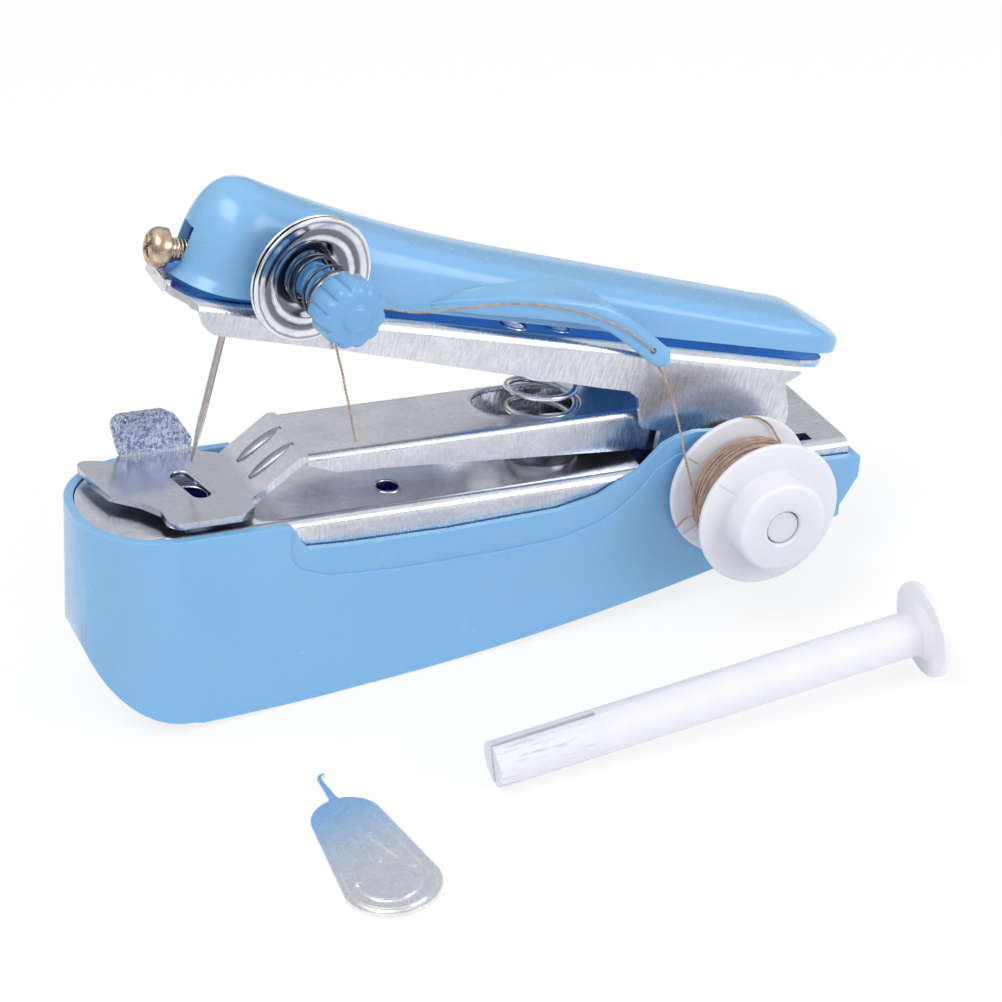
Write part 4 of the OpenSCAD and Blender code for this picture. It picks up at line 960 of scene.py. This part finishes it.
def spun_steel():
    """Bright pressed sheet, with painted dark reflections in the hollows between its rings."""
    made, at = finish_with("bright_disc_steel", Metallic=1.0)
    smear = noise(at, 0.35, 4.0, 0.6)
    fine = noise(at, 11.0, 3.0, 0.6)
    # painted shade: dark reflections painted into the hollows between the rings
    axis = ASKEW.to_3x3() @ Vector((0, 1, 0))
    arm = at.node("VectorMath", {0: at, 1: ASKEW.translation * 1000}, operation="SUBTRACT")
    arm = arm.node("VectorMath", {0: arm, 1: axis}, operation="CROSS_PRODUCT")
    out = arm.node("VectorMath", {0: arm}, 1, operation="LENGTH") + (smear - 0.5) * 0.5
    hollow = spread(out, 0, 10, (3.0, 0.9), (3.7, 0.25), (4.2, 0.9), (5.0, 0.9), (5.3, 0.05), (5.7, 0.05),
                    (6.0, 0.9), (6.6, 0.85), (6.9, 0.1), (7.4, 0.05), (7.65, 0.8), (7.85, 0.0))
    tone = mixed(above(smear, 0.40, 0.70, 0.6), levels(236, 238, 243), levels(188, 192, 204))
    # the hollows take the painted dark reflection
    feed(made, Base_Color=mixed(hollow, tone, levels(84, 86, 98)),
         Roughness=smear * 0.06 + fine * 0.04 + 0.03, Normal=relief(fine, 0.004, 0.5))
    return made


BRIGHT = spun_steel()


def lathed(name, matrix, outline, count):
    """A closed outline of (radius, distance along -Y) turned round the Y axis of a part's own frame."""
    points = []
    for a in np.arange(count) * 2 * math.pi / count:
        points += [(r * math.cos(a), -d, r * math.sin(a)) for r, d in outline]
    piece = make_piece(name, placed(matrix, points), between(count, len(outline), closed=True))
    face_outwards(piece.data, weld=True)
    return piece


def rounded(outline, step):
    """A closed outline with its corners eased by a smooth curve through its points."""
    ring = [Vector(p) for p in outline]
    out = []
    for k, here in enumerate(ring):
        before, after = ring[k - 1], ring[(k + 1) % len(ring)]
        a = min(step, (here - before).length * 0.45)
        b = min(step, (after - here).length * 0.45)
        start, end = here + (before - here).normalized() * a, here + (after - here).normalized() * b
        out += [tuple((1 - t) ** 2 * start + 2 * t * (1 - t) * here + t * t * end)
                for t in (0, 0.25, 0.5, 0.75, 1)]
    return out


def disc_outline(back):
    """A deep dish, a raised ring, a groove and a rolled rim; each point's depth is a share of the dish."""
    form = [(POST_R + 0.15, 0), (3.6, 0), (4.5, 0.38), (5.2, 0.80), (5.8, 0.82), (6.4, 0.62), (7.1, 0.80),
            (7.7, 1), (DISC_R - 0.1, 1)]
    low = [(r, back + f * DISC_DISH) for r, f in form]
    high = [(r, d + DISC_T) for r, d in low[::-1]]
    return rounded(low + [(DISC_R, back + DISC_DISH + DISC_T / 2)] + high, 0.4)


for name, node, back in (("disc_at_cover", "tension_disc_back", -DISC_GAP / 2 - DISC_T - DISC_DISH),
                         ("disc_at_spring", "tension_disc_front", DISC_GAP / 2 - DISC_DISH)):
    fit(lathed(name, ASKEW, disc_outline(back), 144), BRIGHT, "needle_arm", [node])

dressed("tension_key", "keyed_washer", 0.1, BRIGHT, "needle_arm")


def knob_skin():
    """A knob with 11 rounded ribs, eased at both ends, with a low boss on its face."""
    ribs, per, big, groove = 11, 14, 4.25, 0.58
    count = ribs * per
    # radius, distance from the face and share of the ribs' depth, from the back end to the boss
    profile = [(2.9, 0.05 - KNOB_LEN, 0), (3.55, -KNOB_LEN, 0.4), (3.9, 0.12 - KNOB_LEN, 0.8),
               (big, 0.5 - KNOB_LEN, 1), (big, -2.4, 1), (big, -1.1, 1), (big - 0.12, -0.62, 0.85),
               (big - 0.5, -0.22, 0.5), (big - 1.0, -0.04, 0.15), (2.4, 0, 0), (2.0, 0.02, 0),
               (1.75, 0.12, 0), (1.6, 0.36, 0), (1.2, 0.48, 0), (0.5, 0.5, 0)]
    points = []
    for r, d, rib in profile:
        for k in range(count):
            a = 2 * math.pi * k / count
            dip = groove * rib * (1 - abs(math.cos(a * ribs / 2)) ** 0.8)
            points.append(((r - dip) * math.cos(a), -(KNOB_Y + d), (r - dip) * math.sin(a)))
    return placed(POST, points), capped(len(profile), count)


knob = make_piece("ribbed_knob", *knob_skin())
sharpen(knob, 60)
KNOB_BLUE = blue_plastic("knob_blue", levels(112, 168, 214), 0.34)
fit(knob, KNOB_BLUE, "knob", ["tension_knob"])

# ---- Bobbin and its pin ----
# A milky moulded bobbin with slit flanges turns on a pin that is pushed through the
# hollow hinge rivet.


def milky(name, gloss, darkening):
    made, at = finish_with(name, Subsurface_Weight=0.35, Subsurface_Scale=0.004,
                           Subsurface_Radius=(1, 0.9, 0.9), IOR=1.5)
    cloud = noise(at, 0.25, 3.0)
    fine = noise(at, 6.0, 3.0)
    tone = mixed(above(cloud, 0.35, 0.65), levels(226, 225, 234), levels(229, 228, 236))
    if darkening:
        # grey streaks that fade out along the rod from its slit end
        near = spread(axis_of(at, 0), 0, 60, (3.6, 1.0), (20.4, 0.0))
        streaks = above(noise(stretched(at, 0.16, 2.6, 2.6), 1.0, 5.0, 0.7), 0.52, 0.66)
        tone = mixed(near * streaks * darkening, tone, levels(148, 144, 150))
    feed(made, Base_Color=tone, Roughness=fine * 0.05 + gloss + 0.05, Normal=relief(fine * 0.06, 0.15, 0.6))
    return made


MILKY = milky("milky_plastic", 0.32, 0)
BOB_Y, BOB_W, HUB_LEN, BOB_R, HUB_R, CORE_R, BORE_R = 13.5, 9.4, 4.0, 10.25, 6.3, 4.4, 3.07
OUT_Y = BOB_Y + BOB_W
HUB_Y, STEP_Y = OUT_Y + HUB_LEN, OUT_Y + 1.3
flange = [(BOB_R - 0.25, 0), (BOB_R, 0.3), (BOB_R - 0.12, 0.85), (CORE_R + 0.4, 1.3), (CORE_R, 1.7)]
bobbin_outline = [(BORE_R, BOB_Y)] + [(r, BOB_Y + d) for r, d in flange]
bobbin_outline += [(r, OUT_Y - d) for r, d in flange[::-1]]
bobbin_outline += [(HUB_R + 0.3, OUT_Y), (HUB_R, OUT_Y + 0.3), (HUB_R, HUB_Y - 0.4), (HUB_R - 0.4, HUB_Y),
                   (2.4, HUB_Y), (2.4, STEP_Y), (BORE_R, STEP_Y)]
bobbin = lathed("bobbin_moulding", HINGE, rounded(bobbin_outline, 0.4), 128)


OUTSIDE, INSIDE = (OUT_Y - 0.12, OUT_Y + 0.5), (BOB_Y + 0.55, BOB_Y + 1.6)


def slit(angle, depth, near):
    """A thin cut into a flange, from a radius outwards."""
    return block(HINGE @ turn(angle, "Y"), (near, -depth[1], -0.05), (12, -depth[0], 0.05))


cut_with(bobbin, slit(-145, OUTSIDE, HUB_R + 0.5), slit(-147, INSIDE, 7.9), slit(82, OUTSIDE, 9.2),
         slit(142, INSIDE, 7.9))
sharpen(bobbin, 50)
fit(bobbin, MILKY, "bobbin", ["bobbin"])
dressed("bobbin_pin", "bobbin_pin_moulding", 0.12, MILKY, "bobbin_pin")

# ---- Wound thread ----
# Several layers of the same thread round the bobbin's core, the last ones laid
# unevenly.


def layer_rule(layer):
    """Where the points of one layer go: round the bobbin, with some strands riding over others."""
    width = BOB_W - 3.9 - layer * 0.25

    def rule(p):
        a = math.atan2(p.y, p.x)
        share = p.z / 1000 / LAYER_LEN
        ride = 0.10 * math.sin(9.1 * share * (layer + 2) + a) + 0.07 * math.sin(23 * share + 3 * a + layer)
        r = math.hypot(p.x, p.y) + ride
        across = BOB_Y + BOB_W / 2 + (share - 0.5) * width + 0.22 * math.sin(a + 7 * share + layer)
        return r * math.cos(a), -across, r * math.sin(a)
    return rule


LAYER_LEN = 0.010
layers = [wound(f"winding_{k}", HINGE, layer_rule(k), Radius=(WOUND_R - 0.28 + k * 0.16) / 1000,
                Wire=0.00033, Turns=turns, Height=LAYER_LEN, Steps=int(turns * 44), Sides=6)
          for k, turns in enumerate((18.0, 16.0, 12.0))]
core_outline = [(CORE_R + 0.3, BOB_Y + 1.9), (CORE_R + 0.3, OUT_Y - 1.9), (WOUND_R - 0.35, OUT_Y - 1.95),
                (WOUND_R - 0.35, BOB_Y + 1.95)]
core = lathed("winding_core", HINGE, core_outline, 64)
for layer in layers + [core]:
    fit(layer, THREAD, "bobbin", ())
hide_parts("bobbin_thread")


def stray_end(name, points):
    """A loose end of the winding; each point is an angle, a radius and a distance along -Y."""
    path = [(r * math.cos(math.radians(a)), -d, -r * math.sin(math.radians(a))) for a, r, d in points]
    fit(thread(name, HINGE, path), THREAD, "bobbin", ())


stray_end("winding_end_top", [(-52, 7.9, 15.6), (-60, 8.5, 15.15), (-70, 9.5, 14.9), (-82, 10.25, 14.6),
                              (-94, 10.48, 14.2)])
stray_end("winding_end_low", [(160, 7.9, 15.6), (158, 8.8, 15.0), (155, 9.8, 14.85), (153, 10.6, 14.8)])

# ---- Looper ----
# Under the bed a flat hook turns on its pivot, pulled round by a link that slides in
# two guides and carried back by a small spring.
dressed("looper", "looper_hook", 0.1, ZINC_BED, "looper")
dressed("looper_link", "looper_slide", 0.12, ZINC_BED, "link")
PIVOT, LOOPER_WIRE = Vector((-44.6, 4.2, -5.05)), 0.0005

looper_spring = wound("looper_spring_coil", BED, lambda p: PIVOT + Vector((-p.y, p.x, p.z)),
                      Radius=0.00195, Wire=LOOPER_WIRE, Turns=4.0, Height=0.003, Steps=150, Sides=10)
fit(looper_spring, DARK_WIRE, "base", ["looper_spring"])
legs = [tube(placed(BED, [PIVOT + Vector(p) for p in leg]), LOOPER_WIRE / 2, 10)
        for leg in ([(3.2, 1.95, 0.2), (1.6, 1.98, 0.2), (0, 1.95, 0.25)],
                    [(0, 1.95, 2.75), (-2.5, 1.97, 2.8), (-5, 1.95, 2.8)])]
fit(make_piece("looper_spring_legs", *joined(*legs)), DARK_WIRE, "base", ())

# ---- Pins, rivets and screws ----
# Turned and plated: the hinge rivet, the cover's rivets, the spring's stud and cap,
# the bed's screws, and the looper's pivot and guides.
TURNED = plated("turned_steel", (0.66, 0.66, 0.69), 0.18, 0.5)
for node, body in (("hinge_rivet", "base"), ("cover_rivets", "needle_arm"), ("spring_stud", "base"),
                   ("spring_cap", "needle_arm"), ("bed_screws", "base"), ("looper_pivot", "base"),
                   ("link_guides", "base"), ("link_stud", "needle_arm")):
    dressed(node, node + "_turned", 0.12, TURNED, body)

# ---- Extension spindle ----
# A loose rod with a flange at one end and a slit in the other, moulded from the same
# milky plastic; it holds a larger spool beside the machine.
ROD = milky("rod_plastic", 0.30, 0.6)
dressed("extension_spindle", "spindle_moulding", 0.3, ROD, "spindle")

# ---- Needle threader ----
# A loose stamping of thin bluish tinned sheet with a raised edge, three ribs, a round
# boss and a hooked tip.


def threader_tin():
    made, at = finish_with("threader_tin", Metallic=1.0)
    cloud = noise(at, 0.5, 4.0, 0.6)
    fine = noise(at, 8.0, 4.0, 0.7)
    # bluer towards the hook
    bluer = spread(axis_of(at, 1), -62, -34, (-49.4, 0.0), (-36.8, 1.0))
    tone = mixed(bluer, levels(242, 240, 240), levels(212, 230, 246))
    feed(made, Base_Color=mixed(above(cloud, 0.5, 0.8, 0.5), tone, levels(196, 202, 214)),
         Roughness=cloud * 0.14 + fine * 0.08 + 0.17, Normal=relief(cloud * 0.5 + fine * 0.1, 0.05, 0.7))
    return made


dressed("needle_threader", "threader_stamping", 0.14, threader_tin(), "threader")
